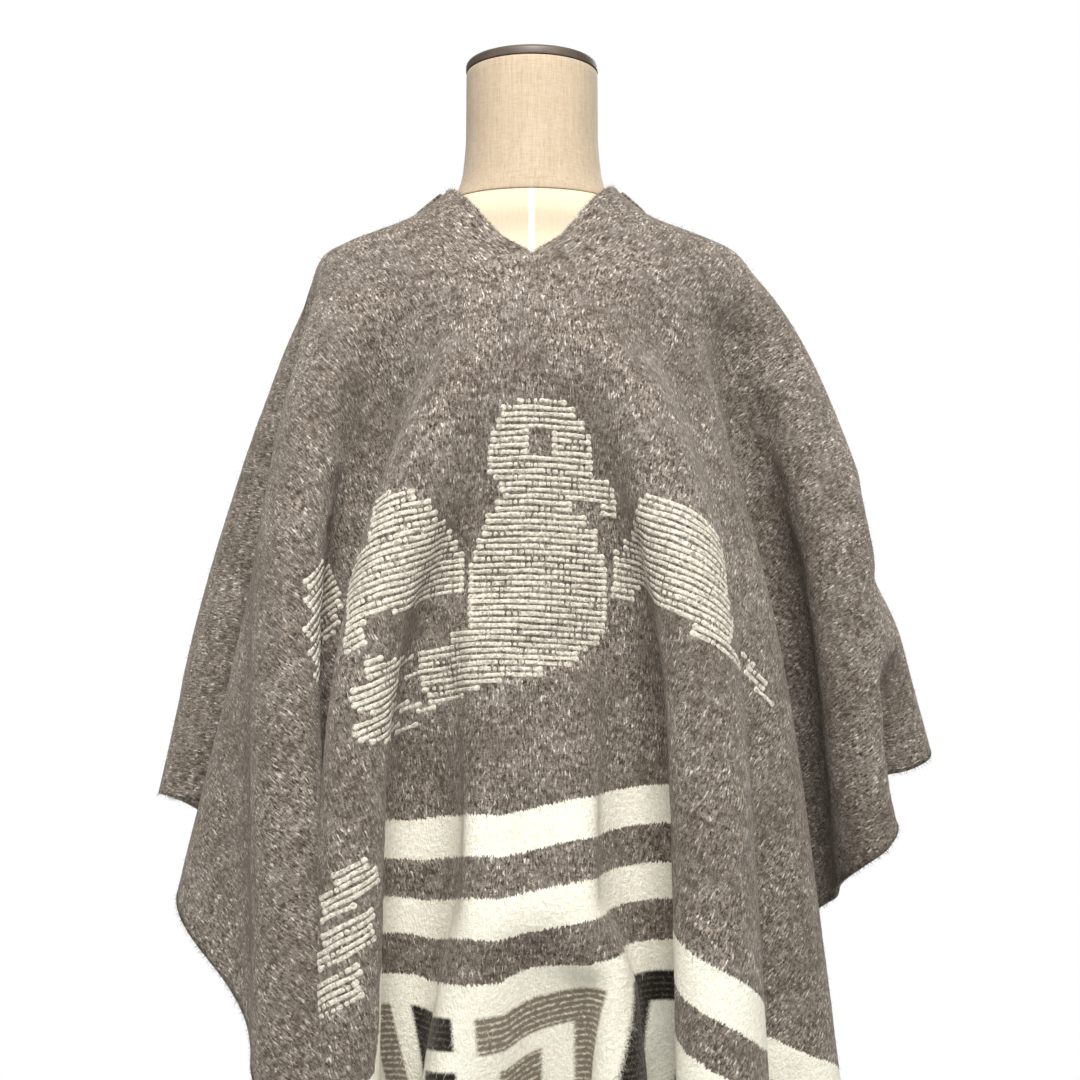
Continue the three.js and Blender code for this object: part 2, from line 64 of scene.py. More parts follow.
# Below SEEN_FROM the cloth hides the form, and its cover is drawn in so that the cloth hangs clear.
HIDDEN_INSET, SEEN_FROM, SEEN_BLEND = 8, 1400, 25
FORM_SIDES = 96
TORSO_STEP, NECK_STEP = 7, 5
COVER_ROLL, ROLL_STEPS = 1.6, (0, 0.12, 0.45, 1)
GIRTH_TOP = 1545
GIRTH_COLUMNS = ("z", "side", "front", "back")
GIRTHS = np.array([
    (740, 120, 84, 88), (770, 152, 104, 112), (810, 166, 112, 122), (860, 170, 112, 126),
    (930, 152, 102, 108), (1000, 122, 92, 88), (1060, 124, 98, 88), (1130, 136, 108, 96),
    (1190, 147, 122, 101), (1235, 154, 131, 104), (1280, 163, 122, 105), (1320, 192, 104, 102),
    (1342, 203, 90, 92), (1355, 200, 82, 84), (1366, 188, 77, 79), (1378, 164, 73, 75),
    (1394, 116, 70, 72), (1405, 90, 68, 70), (1415, 75, 66, 68), (1434, 66, 64, 66),
    (1470, 62, 62, 62), (1545, 61.6, 61.6, 61.6),
], float)
ROUNDING = 12
GIRTH_LEVELS = np.arange(FORM_BOTTOM, GIRTH_TOP + 1.0)


def girth(column):
    """One column of the girths at every millimetre of height, rounded off by a running mean."""
    plain = np.interp(GIRTH_LEVELS, GIRTHS[:, 0], GIRTHS[:, GIRTH_COLUMNS.index(column)])
    window = np.ones(2 * ROUNDING + 1) / (2 * ROUNDING + 1)
    return np.convolve(np.pad(plain, ROUNDING, mode="edge"), window, "valid")


SIDE, FRONT, BACK = girth("side"), girth("front"), girth("back")


def linear(red, green, blue):
    """A screen colour of 0 to 255 as the linear colour that shaders take."""
    return tuple(((c / 255 + 0.055) / 1.055) ** 2.4 if c > 10 else c / 3295 for c in (red, green, blue))


SHEEN_ROUGHNESS = 0.45


class Finish:
    """A node material, built up by short calls that take sockets or plain values."""

    def __init__(self, name, roughness, specular, sheen=0.0, sheen_tint=(1, 1, 1)):
        self.material = bpy.data.materials.new(name)
        self.material.use_nodes = True
        self.nodes = self.material.node_tree.nodes
        self.links = self.material.node_tree.links
        self.shader = self.nodes["Principled BSDF"]
        self.shader.inputs["Roughness"].default_value = roughness
        self.shader.inputs["Specular IOR Level"].default_value = specular
        self.shader.inputs["Sheen Weight"].default_value = sheen
        self.shader.inputs["Sheen Roughness"].default_value = SHEEN_ROUGHNESS
        self.shader.inputs["Sheen Tint"].default_value = (*sheen_tint, 1)

    def put(self, socket, value):
        """A socket or a plain value goes into an input; a colour of three gets its opacity."""
        if isinstance(value, bpy.types.NodeSocket):
            self.links.new(value, socket)
        elif isinstance(value, tuple) and len(value) == 3 and socket.type == "RGBA":
            socket.default_value = (*value, 1)
        else:
            socket.default_value = value

    def node(self, kind, values=None, **settings):
        """A new node with its settings and its inputs by name."""
        made = self.nodes.new(kind)
        for name, value in settings.items():
            setattr(made, name, value)
        for name, value in (values or {}).items():
            self.put(made.inputs[name], value)
        return made

    def place(self, uv_map=None):
        """Places on the piece: in its own space, or in one of its maps."""
        if uv_map:
            return self.node("ShaderNodeUVMap", uv_map=uv_map).outputs["UV"]
        return self.node("ShaderNodeTexCoord").outputs["Object"]

    def drawn_out(self, place, scale):
        """Places scaled by axis: a pattern on them is drawn out where the scale is small."""
        return self.node("ShaderNodeMapping", {"Vector": place, "Scale": scale}).outputs["Vector"]

    def noise(self, place, scale, detail, roughness):
        values = {"Vector": place, "Scale": scale, "Detail": detail, "Roughness": roughness}
        return self.node("ShaderNodeTexNoise", values).outputs["Fac"]

    def math(self, operation, *values):
        made = self.node("ShaderNodeMath", operation=operation)
        for socket, value in zip(made.inputs, values):
            self.put(socket, value)
        return made.outputs["Value"]

    def spread(self, value, low, high, to_low=0.0, to_high=1.0):
        """A value between low and high becomes a share between to_low and to_high."""
        values = {"Value": value, "From Min": low, "From Max": high, "To Min": to_low, "To Max": to_high}
        return self.node("ShaderNodeMapRange", values).outputs["Result"]

    def mix(self, share, first, second):
        """The first colour, gone over to the second by a share."""
        made = self.node("ShaderNodeMix", data_type="RGBA")
        self.put(made.inputs[0], share)
        self.put(made.inputs[6], first)
        self.put(made.inputs[7], second)
        return made.outputs[2]

    def split(self, vector):
        return self.node("ShaderNodeSeparateXYZ", {"Vector": vector}).outputs

    def colour(self, value):
        self.put(self.shader.inputs["Base Color"], value)

    def bump(self, height, distance, strength):
        values = {"Height": height, "Distance": distance, "Strength": strength}
        self.links.new(self.node("ShaderNodeBump", values).outputs["Normal"], self.shader.inputs["Normal"])


def show(name, mesh, finish, nodes=(), smooth_under=180):
    """A finished bmesh becomes a piece that rides on the root body, in place of the named nodes."""
    data = bpy.data.meshes.new(name)
    mesh.to_mesh(data)
    mesh.free()
    data.materials.append(finish.material)
    data.shade_smooth()
    if smooth_under < 180:
        data.set_sharp_from_angle(angle=math.radians(smooth_under))
    piece = bpy.data.objects.new(name, data)
    bpy.context.scene.collection.objects.link(piece)
    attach(piece, "root")
    if nodes:
        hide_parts(*nodes)
    return piece


def form_cover(heights):
    """A unit ring is drawn up through the heights, closed, and drawn in to the form's girths."""
    mesh = bmesh.new()
    ring = bmesh.ops.create_circle(mesh, segments=FORM_SIDES, radius=1)["verts"]
    bmesh.ops.translate(mesh, verts=ring, vec=(0, 0, heights[0]))
    bmesh.ops.contextual_create(mesh, geom=ring)
    edges = list({e for v in ring for e in v.link_edges})
    for low, high in zip(heights, heights[1:]):
        made = bmesh.ops.extrude_edge_only(mesh, edges=edges)["geom"]
        edges = [e for e in made if isinstance(e, bmesh.types.BMEdge)]
        ring = [v for v in made if isinstance(v, bmesh.types.BMVert)]
        bmesh.ops.translate(mesh, verts=ring, vec=(0, 0, high - low))
    bmesh.ops.contextual_create(mesh, geom=ring)
    bmesh.ops.recalc_face_normals(mesh, faces=mesh.faces)
    for vert in mesh.verts:
        x, y, z = vert.co
        level = min(z - FORM_BOTTOM, len(GIRTH_LEVELS) - 1)
        inset = HIDDEN_INSET * min(max((SEEN_FROM - z) / SEEN_BLEND, 0), 1)
        end = min(z - heights[0], heights[-1] - z, COVER_ROLL)
        inset += COVER_ROLL - math.sqrt(max(COVER_ROLL**2 - (COVER_ROLL - end) ** 2, 0))
        side = np.interp(level, np.arange(len(SIDE)), SIDE) - inset
        depth = np.interp(level, np.arange(len(SIDE)), FRONT if y < 0 else BACK) - inset
        vert.co = (x * side * MM, y * depth * MM, z * MM)
    return mesh


def heights_between(low, high, step):
    """Heights of a cover, close together at its rolled ends."""
    ends = COVER_ROLL * np.array(ROLL_STEPS)
    middle = np.linspace(low + COVER_ROLL, high - COVER_ROLL, max(int((high - low) / step), 2))
    return [*(low + ends[:-1]), *middle, *(high - ends[-2::-1])]


LINEN_LIGHT, LINEN_DARK = linear(200, 183, 159), linear(170, 149, 121)
TORSO_LINEN, TORSO_SHARE = linear(230, 218, 190), 0.6
TAPE_PALE, TAPE_SHARE = linear(255, 250, 232), 0.75
TAPE_HALF_WIDTH, TAPE_SOFT_EDGE = 0.003, 0.0006

linen = Finish("natural_linen", roughness=0.85, specular=0.2, sheen=0.15)
linen_place = linen.place()
upright = linen.noise(linen.drawn_out(linen_place, (1, 1, 0.06)), 1500, 3, 0.6)
level_threads = linen.noise(linen.drawn_out(linen_place, (0.08, 0.08, 1)), 1300, 3, 0.6)
slubs = linen.noise(linen.drawn_out(linen_place, (1, 1, 0.03)), 420, 2, 0.7)
thread = linen.math("ADD", linen.math("MULTIPLY", upright, 0.55), linen.math("MULTIPLY", level_threads, 0.45))
tone = linen.math("ADD", thread, linen.math("MULTIPLY", slubs, 0.35))
plain = linen.mix(linen.spread(tone, 0.48, 0.86), LINEN_DARK, LINEN_LIGHT)
where = linen.split(linen_place)
beside = linen.math("ABSOLUTE", where["X"])
on_tape = linen.spread(beside, TAPE_HALF_WIDTH, TAPE_HALF_WIDTH - TAPE_SOFT_EDGE)
on_front = linen.math("LESS_THAN", where["Y"], 0.0)
under_seam = linen.math("LESS_THAN", where["Z"], NECK_SEAM * MM)
tape = linen.math("MULTIPLY", on_tape, linen.math("MULTIPLY", on_front, under_seam))
plain = linen.mix(linen.math("MULTIPLY", under_seam, TORSO_SHARE), plain, TORSO_LINEN)
linen.colour(linen.mix(tape, plain, linen.mix(TAPE_SHARE, plain, TAPE_PALE)))
linen.bump(linen.math("ADD", thread, linen.math("MULTIPLY", tape, 0.8)), 0.0006, 0.5)

show(
    "linen_torso", form_cover(heights_between(FORM_BOTTOM, NECK_SEAM - SEAM_HALF_GAP, TORSO_STEP)),
    linen, ["form_torso"], smooth_under=50,
)
show(
    "linen_neck", form_cover(heights_between(NECK_SEAM + SEAM_HALF_GAP, NECK_TOP, NECK_STEP)),
    linen, ["form_neck"], smooth_under=50,
)


# The form's metal: a turned cap over the neck, the collar under the torso, the pole and the round base.
# All are steel with a satin dark brown paint, worn to a lighter tone in soft patches.
CAP = {"bottom": 1538, "top": 1547, "radius": 62, "lower_edge": 1, "upper_edge": 4}
COLLAR = {"bottom": 700, "top": 739.7, "radius": 30, "lower_edge": 2, "upper_edge": 2}
POLE = {"bottom": 26.3, "top": 699.7, "radius": 14}
BASE = {"rim": 6, "top": 26, "radius": 175, "hub": 32, "edge": 3, "ledge": 4, "ledge_rise": 2, "steps": 24}
TURNED_SIDES = 96
EDGE_STEPS = 6
METAL_SMOOTH_UNDER = 60
PAINT_DARK, PAINT_WORN = linear(72, 62, 53), linear(98, 86, 75)

paint = Finish("brown_paint", roughness=0.42, specular=0.5)
paint_clouds = paint.noise(paint.place(), 38, 4, 0.6)
paint_grain = paint.noise(paint.place(), 900, 2, 0.5)
paint.colour(paint.mix(paint.spread(paint_clouds, 0.3, 0.7), PAINT_DARK, PAINT_WORN))
paint.put(paint.shader.inputs["Roughness"], paint.spread(paint_clouds, 0.3, 0.7, 0.36, 0.52))
paint.bump(paint_grain, 0.0002, 0.25)


def turned(profile):
    """A profile of (radius, height) in millimetres, from the axis and back to it, is spun round."""
    mesh = bmesh.new()
    points = [mesh.verts.new((radius * MM, 0, height * MM)) for radius, height in profile]
    edges = [mesh.edges.new(pair) for pair in zip(points, points[1:])]
    bmesh.ops.spin(
        mesh, geom=[*points, *edges], cent=(0, 0, 0), axis=(0, 0, 1), dvec=(0, 0, 0),
        angle=2 * math.pi, steps=TURNED_SIDES, use_merge=True,
    )
    bmesh.ops.remove_doubles(mesh, verts=mesh.verts, dist=1e-6)
    bmesh.ops.recalc_face_normals(mesh, faces=mesh.faces)
    return mesh


def rounded(radius, height, edge, rising):
    """The points of a quarter round on a rim: out and up where rising, else up and in."""
    turns = [math.pi / 2 * k / EDGE_STEPS for k in range(EDGE_STEPS + 1)]
    if rising:
        return [(radius - edge + edge * math.sin(t), height + edge - edge * math.cos(t)) for t in turns]
    return [(radius - edge + edge * math.cos(t), height - edge + edge * math.sin(t)) for t in turns]


def block(sizes):
    """The profile of a round block with rolled edges."""
    lower = rounded(sizes["radius"], sizes["bottom"], sizes["lower_edge"], True)
    upper = rounded(sizes["radius"], sizes["top"], sizes["upper_edge"], False)
    return [(0, sizes["bottom"]), *lower, *upper, (0, sizes["top"])]


def metal(name, profile, node):
    """A turned piece of painted metal in place of one node."""
    show(name, turned(profile), paint, [node], smooth_under=METAL_SMOOTH_UNDER)


metal("turned_cap", block(CAP), "neck_cap")
metal("steel_collar", block(COLLAR), "stand_collar")

pole_side = [(POLE["radius"], POLE["bottom"]), (POLE["radius"], POLE["top"])]
metal("steel_pole", [(0, POLE["bottom"]), *pole_side, (0, POLE["top"])], "stand_pole")

ledge_radius, ledge_height = BASE["radius"] - BASE["ledge"], BASE["rim"] + BASE["ledge_rise"]
base_profile = [(0, 0), *rounded(BASE["radius"], 0, BASE["edge"], True), (BASE["radius"], BASE["rim"])]
for k in range(1, BASE["steps"] + 1):
    share = k / BASE["steps"]
    rise = share * share * (3 - 2 * share)
    radius = ledge_radius + (BASE["hub"] - ledge_radius) * share
    base_profile.append((radius, ledge_height + (BASE["top"] - ledge_height) * rise))
metal("steel_base", [*base_profile, (0, BASE["top"])], "stand_base")


# The cloth: one length of thick felted wool, cut 1.30 m wide and 2.08 m long with a slit for the head.
# Worked in millimetres: it is hung over the form in fold lines and settled under its own weight.
THREAD, COLUMNS, FRONT_ROWS, SLIT_ROWS = 26, 26, 40, 5
ROWS = 2 * FRONT_ROWS + 1
CLOTH_CLEAR = 6
# A fold line starts at the slit, leaves the form at its reach, and passes two places, NEAR and FAR along it.
# Each table of folds goes from the middle line (turn 0) to the shoulder line (turn 90), in degrees.
NEAR, FAR = 450, 700
FOLD_COLUMNS = (
    "turn", "leave_side", "leave_out", "leave_z", "reach", "near_side", "near_out", "far_side", "far_out",
)
FRONT_RIGHT = [
    (0, 0, 133, 1235, 275, 0, 148, 0, 148),
    (8, 40, 134, 1238, 262, 60, 150, 60, 196),
    (15, 85, 122, 1250, 235, 112, 138, 110, 130),
    (24, 112, 105, 1270, 200, 128, 208, 131, 258),
    (38, 140, 85, 1300, 165, 172, 145, 190, 150),
    (50, 158, 66, 1320, 145, 228, 52, 250, 60),
    (59, 175, 52, 1335, 138, 236, -10, 240, -50),
    (72, 190, 32, 1350, 132, 288, 76, 334, 82),
    (80, 202, 18, 1358, 130, 250, 6, 286, -6),
    (90, 206, 0, 1366, 129, 300, 0, 384, 0),
]
FRONT_LEFT = [
    (0, 0, 133, 1235, 275, 0, 148, 0, 148),
    (7, 35, 134, 1237, 265, 50, 160, 58, 196),
    (15, 85, 122, 1250, 235, 112, 138, 110, 130),
    (24, 112, 105, 1270, 200, 140, 208, 142, 260),
    (38, 140, 85, 1300, 165, 170, 102, 174, 104),
    (50, 158, 66, 1320, 145, 193, 188, 170, 250),
    (70, 188, 34, 1348, 133, 262, 60, 322, 80),
    (80, 206, 18, 1358, 130, 212, -10, 262, -20),
    (90, 211, 0, 1366, 129, 246, 0, 364, 0),
]
BACK_FOLDS = [
    (0, 0, 106, 1280, 250, 0, 145, 0, 190),
    (10, 50, 104, 1280, 235, 66, 105, 90, 110),
    (22, 100, 96, 1285, 195, 112, 185, 130, 260),
    (36, 135, 84, 1300, 165, 165, 100, 185, 105),
    (48, 155, 68, 1318, 148, 235, 165, 275, 225),
    (60, 178, 50, 1338, 138, 235, 70, 262, 75),
    (73, 190, 30, 1350, 132, 290, 80, 348, 110),
    (82, 204, 16, 1358, 130, 250, 25, 300, 30),
]
NECK_SIDE = {"side": 86, "z": 1408}
NECK_FRONT = {"out": 70, "z": 1372, "reach": 110}
NECK_TURN = 2.5
LIFT = 6


def hang(folds, across, along):
    """Where points of the flat cloth hang before they settle: over the form, then along a fold line."""
    table = np.array(folds, float)
    slope = np.tan(np.radians(table[:, 0]))
    keys = np.where(table[:, 0] >= 90, 1, slope / (1 + slope))
    reach = np.hypot(across, along)
    share = np.where(reach < 1, 1, across / (across + np.abs(along) + 1e-9))
    f = {name: np.interp(share, keys, table[:, k]) for k, name in enumerate(FOLD_COLUMNS)}
    blend = np.minimum(1, share * NECK_TURN)
    mid_side = f["leave_side"] * blend
    mid_out = NECK_FRONT["out"] + (f["leave_out"] - NECK_FRONT["out"]) * blend
    mid_z = NECK_FRONT["z"] + (f["leave_z"] - NECK_FRONT["z"]) * blend
    to_mid = np.minimum(reach / NECK_FRONT["reach"], 1)
    to_leave = np.clip((reach - NECK_FRONT["reach"]) / np.maximum(f["reach"] - NECK_FRONT["reach"], 1), 0, 1)
    to_near = np.clip((reach - f["reach"]) / (NEAR - f["reach"]), 0, 1)
    to_far = np.maximum((reach - NEAR) / (FAR - NEAR), 0)
    near_aside, near_out = f["near_side"] - f["leave_side"], f["near_out"] - f["leave_out"]
    far_aside, far_out = f["far_side"] - f["near_side"], f["far_out"] - f["near_out"]
    near_drop = np.sqrt(np.maximum((NEAR - f["reach"]) ** 2 - near_aside**2 - near_out**2, 1))
    far_drop = np.sqrt(np.maximum((FAR - NEAR) ** 2 - far_aside**2 - far_out**2, 1))
    side = NECK_SIDE["side"] + (mid_side - NECK_SIDE["side"]) * to_mid
    side += (f["leave_side"] - mid_side) * to_leave + near_aside * to_near + far_aside * to_far
    out = mid_out * to_mid + (f["leave_out"] - mid_out) * to_leave + near_out * to_near + far_out * to_far
    z = NECK_SIDE["z"] + (mid_z - NECK_SIDE["z"]) * to_mid + (f["leave_z"] - mid_z) * to_leave
    return side, out, z - near_drop * to_near - far_drop * to_far + LIFT


SETTLE = {"steps": 150, "passes": 16, "gravity": 0.2, "keep": 0.95, "fastest": 3, "grip": 0.2, "hold": 0.05}
NECK_HELD = {"reach": 40, "hold": 0.3}
DIAGONAL = THREAD * math.sqrt(2)
ACROSS_MIDDLE = 0.4
MOST_MOVE = 10
# Folds of the cloth stay this far apart, so that a tight fold isn't pressed flat.
APART = 24
# Columns: rows down, columns over, length, strength, whether it only pushes.
TIES = [
    (0, 1, THREAD, 1, False),
    (1, 0, THREAD, 1, False),
    (1, 1, DIAGONAL, 0.3, False),
    (1, -1, DIAGONAL, 0.3, False),
    (0, 2, 2 * THREAD, 0.06, True),
    (2, 0, 2 * THREAD, 0.06, True),
    (0, 4, 4 * THREAD, 0.01, True),
    (4, 0, 4 * THREAD, 0.01, True),
    (0, 4, APART, 0.5, True),
    (0, 6, APART, 0.5, True),
    (2, 4, APART, 0.5, True),
    (2, -4, APART, 0.5, True),
    (2, 6, APART, 0.5, True),
    (2, -6, APART, 0.5, True),
]


def tie(a, b, length, strength, only_push):
    """Pairs of points in two views of the cloth are drawn, or only pushed, to their length apart."""
    between = b - a
    span = np.sqrt(np.einsum("...k,...k->...", between, between)) + 1e-9
    share = (span - length) / span * (strength * 0.5)
    if only_push:
        share = np.minimum(share, 0)
    between *= share[..., None]
    a += between
    b -= between


def tied_views(points):
    """For every tie, the two views of the points whose pairs share no point, so all move at once."""
    found = []
    for down, over, length, strength, only_push in TIES:
        step = down if down > 0 else over
        for start in range(2 * step):
            if down > 0:
                first = points[:, start:ROWS - down:2 * step, max(-over, 0):COLUMNS - max(over, 0)]
                second = points[:, start + down:ROWS:2 * step, max(over, 0):COLUMNS + min(over, 0)]
                count = min(first.shape[1], second.shape[1])
                pair = (first[:, :count], second[:, :count])
            else:
                first = points[:, :, start:COLUMNS - over:2 * step]
                second = points[:, :, start + over::2 * step]
                count = min(first.shape[2], second.shape[2])
                pair = (first[:, :, :count], second[:, :, :count])
            found.append((*pair, length, strength, only_push))
    return found


def join_middle(points, sewn):
    """Left and right of the middle are one cloth outside the head slit."""
    for column, length in ((1, 2 * THREAD), (2, 4 * THREAD)):
        left, right = points[0, sewn, column], points[1, sewn, column]
        tie(left, right, length, ACROSS_MIDDLE, True)
        points[0, sewn, column], points[1, sewn, column] = left, right
    middle = (points[0, sewn, 0] + points[1, sewn, 0]) * 0.5
    points[0, sewn, 0] = middle
    points[1, sewn, 0] = middle


def keep_off_form(points):
    """Points inside the form's girth move out of it; the returned mask tells which ones touched it."""
    x, y, z = points[..., 0], points[..., 1], points[..., 2]
    level = np.clip(z - FORM_BOTTOM, 0, len(SIDE) - 2)
    i = level.astype(int)
    t = level - i
    is_front = y < 0
    side_rise = SIDE[i + 1] - SIDE[i]
    depth_low = np.where(is_front, FRONT[i], BACK[i])
    depth_rise = np.where(is_front, FRONT[i + 1], BACK[i + 1]) - depth_low
    side = SIDE[i] + side_rise * t + CLOTH_CLEAR
    depth = depth_low + depth_rise * t + CLOTH_CLEAR
    inside = (x / side) ** 2 + (y / depth) ** 2 - 1
    touches = (inside < 0) & (z > FORM_BOTTOM) & (z < FORM_BOTTOM + len(SIDE) - 1)
    gx, gy = 2 * x / side**2, 2 * y / depth**2
    gz = -2 * x * x * side_rise / side**3 - 2 * y * y * depth_rise / depth**3
    slope = gx * gx + gy * gy + gz * gz + 1e-12
    move = np.where(touches, -inside / slope, 0)
    move *= MOST_MOVE / np.maximum(np.abs(move) * np.sqrt(slope), MOST_MOVE)
    points += np.stack([move * gx, move * gy, move * gz], -1)
    return touches


def settled_cloth():
    """Points of the cloth as [side, row, column], side 0 at -X, row 0 at the front hem. Front and back
    share the fold line of the shoulder, and the felted edge at the neck's sides holds its place firmly."""
    across, along = np.meshgrid(np.arange(COLUMNS) * THREAD, (np.arange(ROWS) - FRONT_ROWS) * THREAD)
    is_front = along < 0
    points = np.zeros((2, ROWS, COLUMNS, 3))
    for side, (sign, front_folds) in enumerate(((-1, FRONT_LEFT), (1, FRONT_RIGHT))):
        front = hang(front_folds, across, along)
        back = hang([*BACK_FOLDS, front_folds[-1]], across, along)
        points[side, ..., 0] = sign * np.where(is_front, front[0], back[0])
        points[side, ..., 1] = np.where(is_front, -front[1], back[1])
        points[side, ..., 2] = np.where(is_front, front[2], back[2])
    hung = points.copy()
    at_neck = np.hypot(across, along) < NECK_HELD["reach"]
    hold = np.where(at_neck, NECK_HELD["hold"], SETTLE["hold"])[..., None]
    speed = np.zeros_like(points)
    sewn = np.abs(np.arange(ROWS) - FRONT_ROWS) >= SLIT_ROWS
    views = tied_views(points)
    for _ in range(SETTLE["steps"]):
        before = points.copy()
        points += speed * SETTLE["keep"]
        points[..., 2] -= SETTLE["gravity"]
        for _ in range(SETTLE["passes"]):
            for first, second, length, strength, only_push in views:
                tie(first, second, length, strength, only_push)
            join_middle(points, sewn)
            touches = keep_off_form(points)
        points[..., :2] += (hung[..., :2] - points[..., :2]) * hold
        speed = (points - before) * np.where(touches, SETTLE["grip"], 1)[..., None]
        fast = np.linalg.norm(speed, axis=-1, keepdims=True) + 1e-9
        speed *= np.minimum(SETTLE["fastest"] / fast, 1)
    keep_off_form(points)
    return points


def with_borders(points):
    """The settled points with one more row and column on every side, so that curves can pass through."""
    wide = np.zeros((2, ROWS + 2, COLUMNS + 2, 3))
    wide[:, 1:-1, 1:-1] = points
    wide[:, 1:-1, -1] = 2 * points[:, :, -1] - points[:, :, -2]
    sewn = (np.abs(np.arange(ROWS) - FRONT_ROWS) >= SLIT_ROWS)[None, :, None]
    wide[:, 1:-1, 0] = np.where(sewn, points[::-1, :, 1], 2 * points[:, :, 0] - points[:, :, 1])
    wide[:, 0] = 2 * wide[:, 1] - wide[:, 2]
    wide[:, -1] = 2 * wide[:, -2] - wide[:, -3]
    return wide


CLOTH = with_borders(settled_cloth())


def curve_weights(t):
    """Weights of four neighbours on a smooth curve that passes through them."""
    return (
        0.5 * (-t + 2 * t**2 - t**3),
        0.5 * (2 - 5 * t**2 + 3 * t**3),
        0.5 * (t + 4 * t**2 - 3 * t**3),
        0.5 * (-(t**2) + t**3),
    )


def cloth_points(sides, across, along):
    """Points of the cloth's middle, in metres, at flat places: the side, 0 at -X, the distance away
    from the middle line, and the distance along from the shoulder line, negative down the front."""
    u = across / THREAD
    v = along / THREAD + FRONT_ROWS
    column = np.clip(np.floor(u).astype(int), 0, COLUMNS - 2)
    row = np.clip(np.floor(v).astype(int), 0, ROWS - 2)
    total = np.zeros((len(u), 3))
    for i, row_weight in enumerate(curve_weights(v - row)):
        for j, column_weight in enumerate(curve_weights(u - column)):
            total += (row_weight * column_weight)[:, None] * CLOTH[sides, row + i, column + j]
    return total * MM


def cloth_normals(sides, across, along, step=3.0):
    """The cloth's outward directions at flat places."""
    over = cloth_points(sides, across + step, along) - cloth_points(sides, across - step, along)
    over *= np.where(sides == 0, -1, 1)[:, None]
    backward = cloth_points(sides, across, along + step) - cloth_points(sides, across, along - step)
    normal = np.cross(over, backward)
    return normal / np.linalg.norm(normal, axis=1, keepdims=True)


# The woven pattern follows the cloth in its own measures, kept on each piece in two maps.
# Weave holds the flat place in metres. Pattern holds the place in the fret's repeat, and the distance
# down from the first pale stripe, whose line lies lower in some folds than in others.
# Columns: across in millimetres, place in the repeat.
FRET_PLACES = np.array([
    (-650, -6), (-375, -3.5), (-265, -2.5), (-177, -1.5), (-58, -0.5), (77, 0.5), (264, 1.5),
    (374, 2.5), (650, 5),
], float)
# Columns: across, distance of the first stripe's top from the shoulder line. The cloth is stretched
# unevenly, so the line jumps along the valley beside each front flute; the valley runs out down the cloth.
STRIPE_TOPS_LEFT = np.array([
    (-650, 610), (-560, 625), (-400, 690), (-330, 730), (-300, 730), (-275, 700), (-262, 668), (-200, 655),
], float)
STRIPE_TOPS_MIDDLE = np.array([
    (-273, 572), (-245, 562), (-219, 564), (-132, 600), (-26, 607), (70, 586), (150, 558), (224, 533),
    (290, 530),
], float)
STRIPE_TOPS_RIGHT = np.array([(200, 626), (282, 630), (373, 633), (450, 615), (598, 583), (650, 575)], float)
VALLEY = {"left": 175, "right": 165, "left_from": 565, "right_from": 550, "runs_out": 0.33}
STRIPE_TOP_BACK = 600


def pattern_places(across, along, beside=None, down=None):
    """Pattern coordinates for flat places in millimetres: repeat, and metres below the stripe's top.
    beside and down, a face's middle, tell on which side of a valley all corners of the face belong."""
    beside = across if beside is None else beside
    down = np.abs(along if down is None else down)
    left_valley = -VALLEY["left"] - VALLEY["runs_out"] * (down - VALLEY["left_from"])
    right_valley = VALLEY["right"] + VALLEY["runs_out"] * (down - VALLEY["right_from"])
    top = np.interp(across, *STRIPE_TOPS_MIDDLE.T)
    top = np.where(beside < left_valley, np.interp(across, *STRIPE_TOPS_LEFT.T), top)
    top = np.where(beside > right_valley, np.interp(across, *STRIPE_TOPS_RIGHT.T), top)
    top = np.where(along < 0, top, STRIPE_TOP_BACK)
    return np.interp(across, *FRET_PLACES.T), (np.abs(along) - top) * MM


# Columns: top and bottom of each pale stripe or band, in metres below the first one's top.
PALE_BANDS = [(0.0, 0.035), (0.069, 0.102), (0.137, 0.330), (0.365, 0.398)]
PATTERN_RANGE = 0.46
FRET_TOP = 0.165
# Columns: left and right in the repeat, top and bottom below the fret's top.
DARK_BLOCKS = [(-0.40, 0.42, 0.000, 0.026), (-0.40, -0.04, 0.000, 0.092), (0.16, 0.42, 0.042, 0.130),
               (-0.40, 0.42, 0.108, 0.130)]
LIGHT_BLOCKS = [(-0.44, 0.44, 0.000, 0.030), (0.22, 0.44, 0.000, 0.112), (-0.30, 0.02, 0.046, 0.112),
                (-0.30, 0.44, 0.092, 0.112)]
BLOCK_EDGE_ASIDE, BLOCK_EDGE_DOWN = 0.012, 0.0012
BLOCK_WOBBLE = 0.06
RIB_PITCH = 0.0053
# Fibres cross the edge of a stripe or a block by this many metres.
RAGGED_STRIPE, RAGGED_BLOCK = 0.011, 0.004
STRIPE_START = 0.0004
HAIR_DRAWN_OUT, FIBRE_DRAWN_OUT = (1, 0.16, 1), (1, 0.3, 1)
WOOL_DARK, WOOL_LIGHT = linear(40, 34, 29), linear(186, 173, 158)
WOOL_SHADED, SHADED_SHARE = linear(82, 71, 61), 0.42
CREAM_DARK, CREAM_LIGHT = linear(234, 228, 206), linear(255, 254, 242)
CREAM_SOILED, SOILED_SHARE = linear(190, 180, 156), 0.16
BLOCK_BLACK, BLOCK_GREY = linear(30, 26, 23), linear(122, 111, 98)
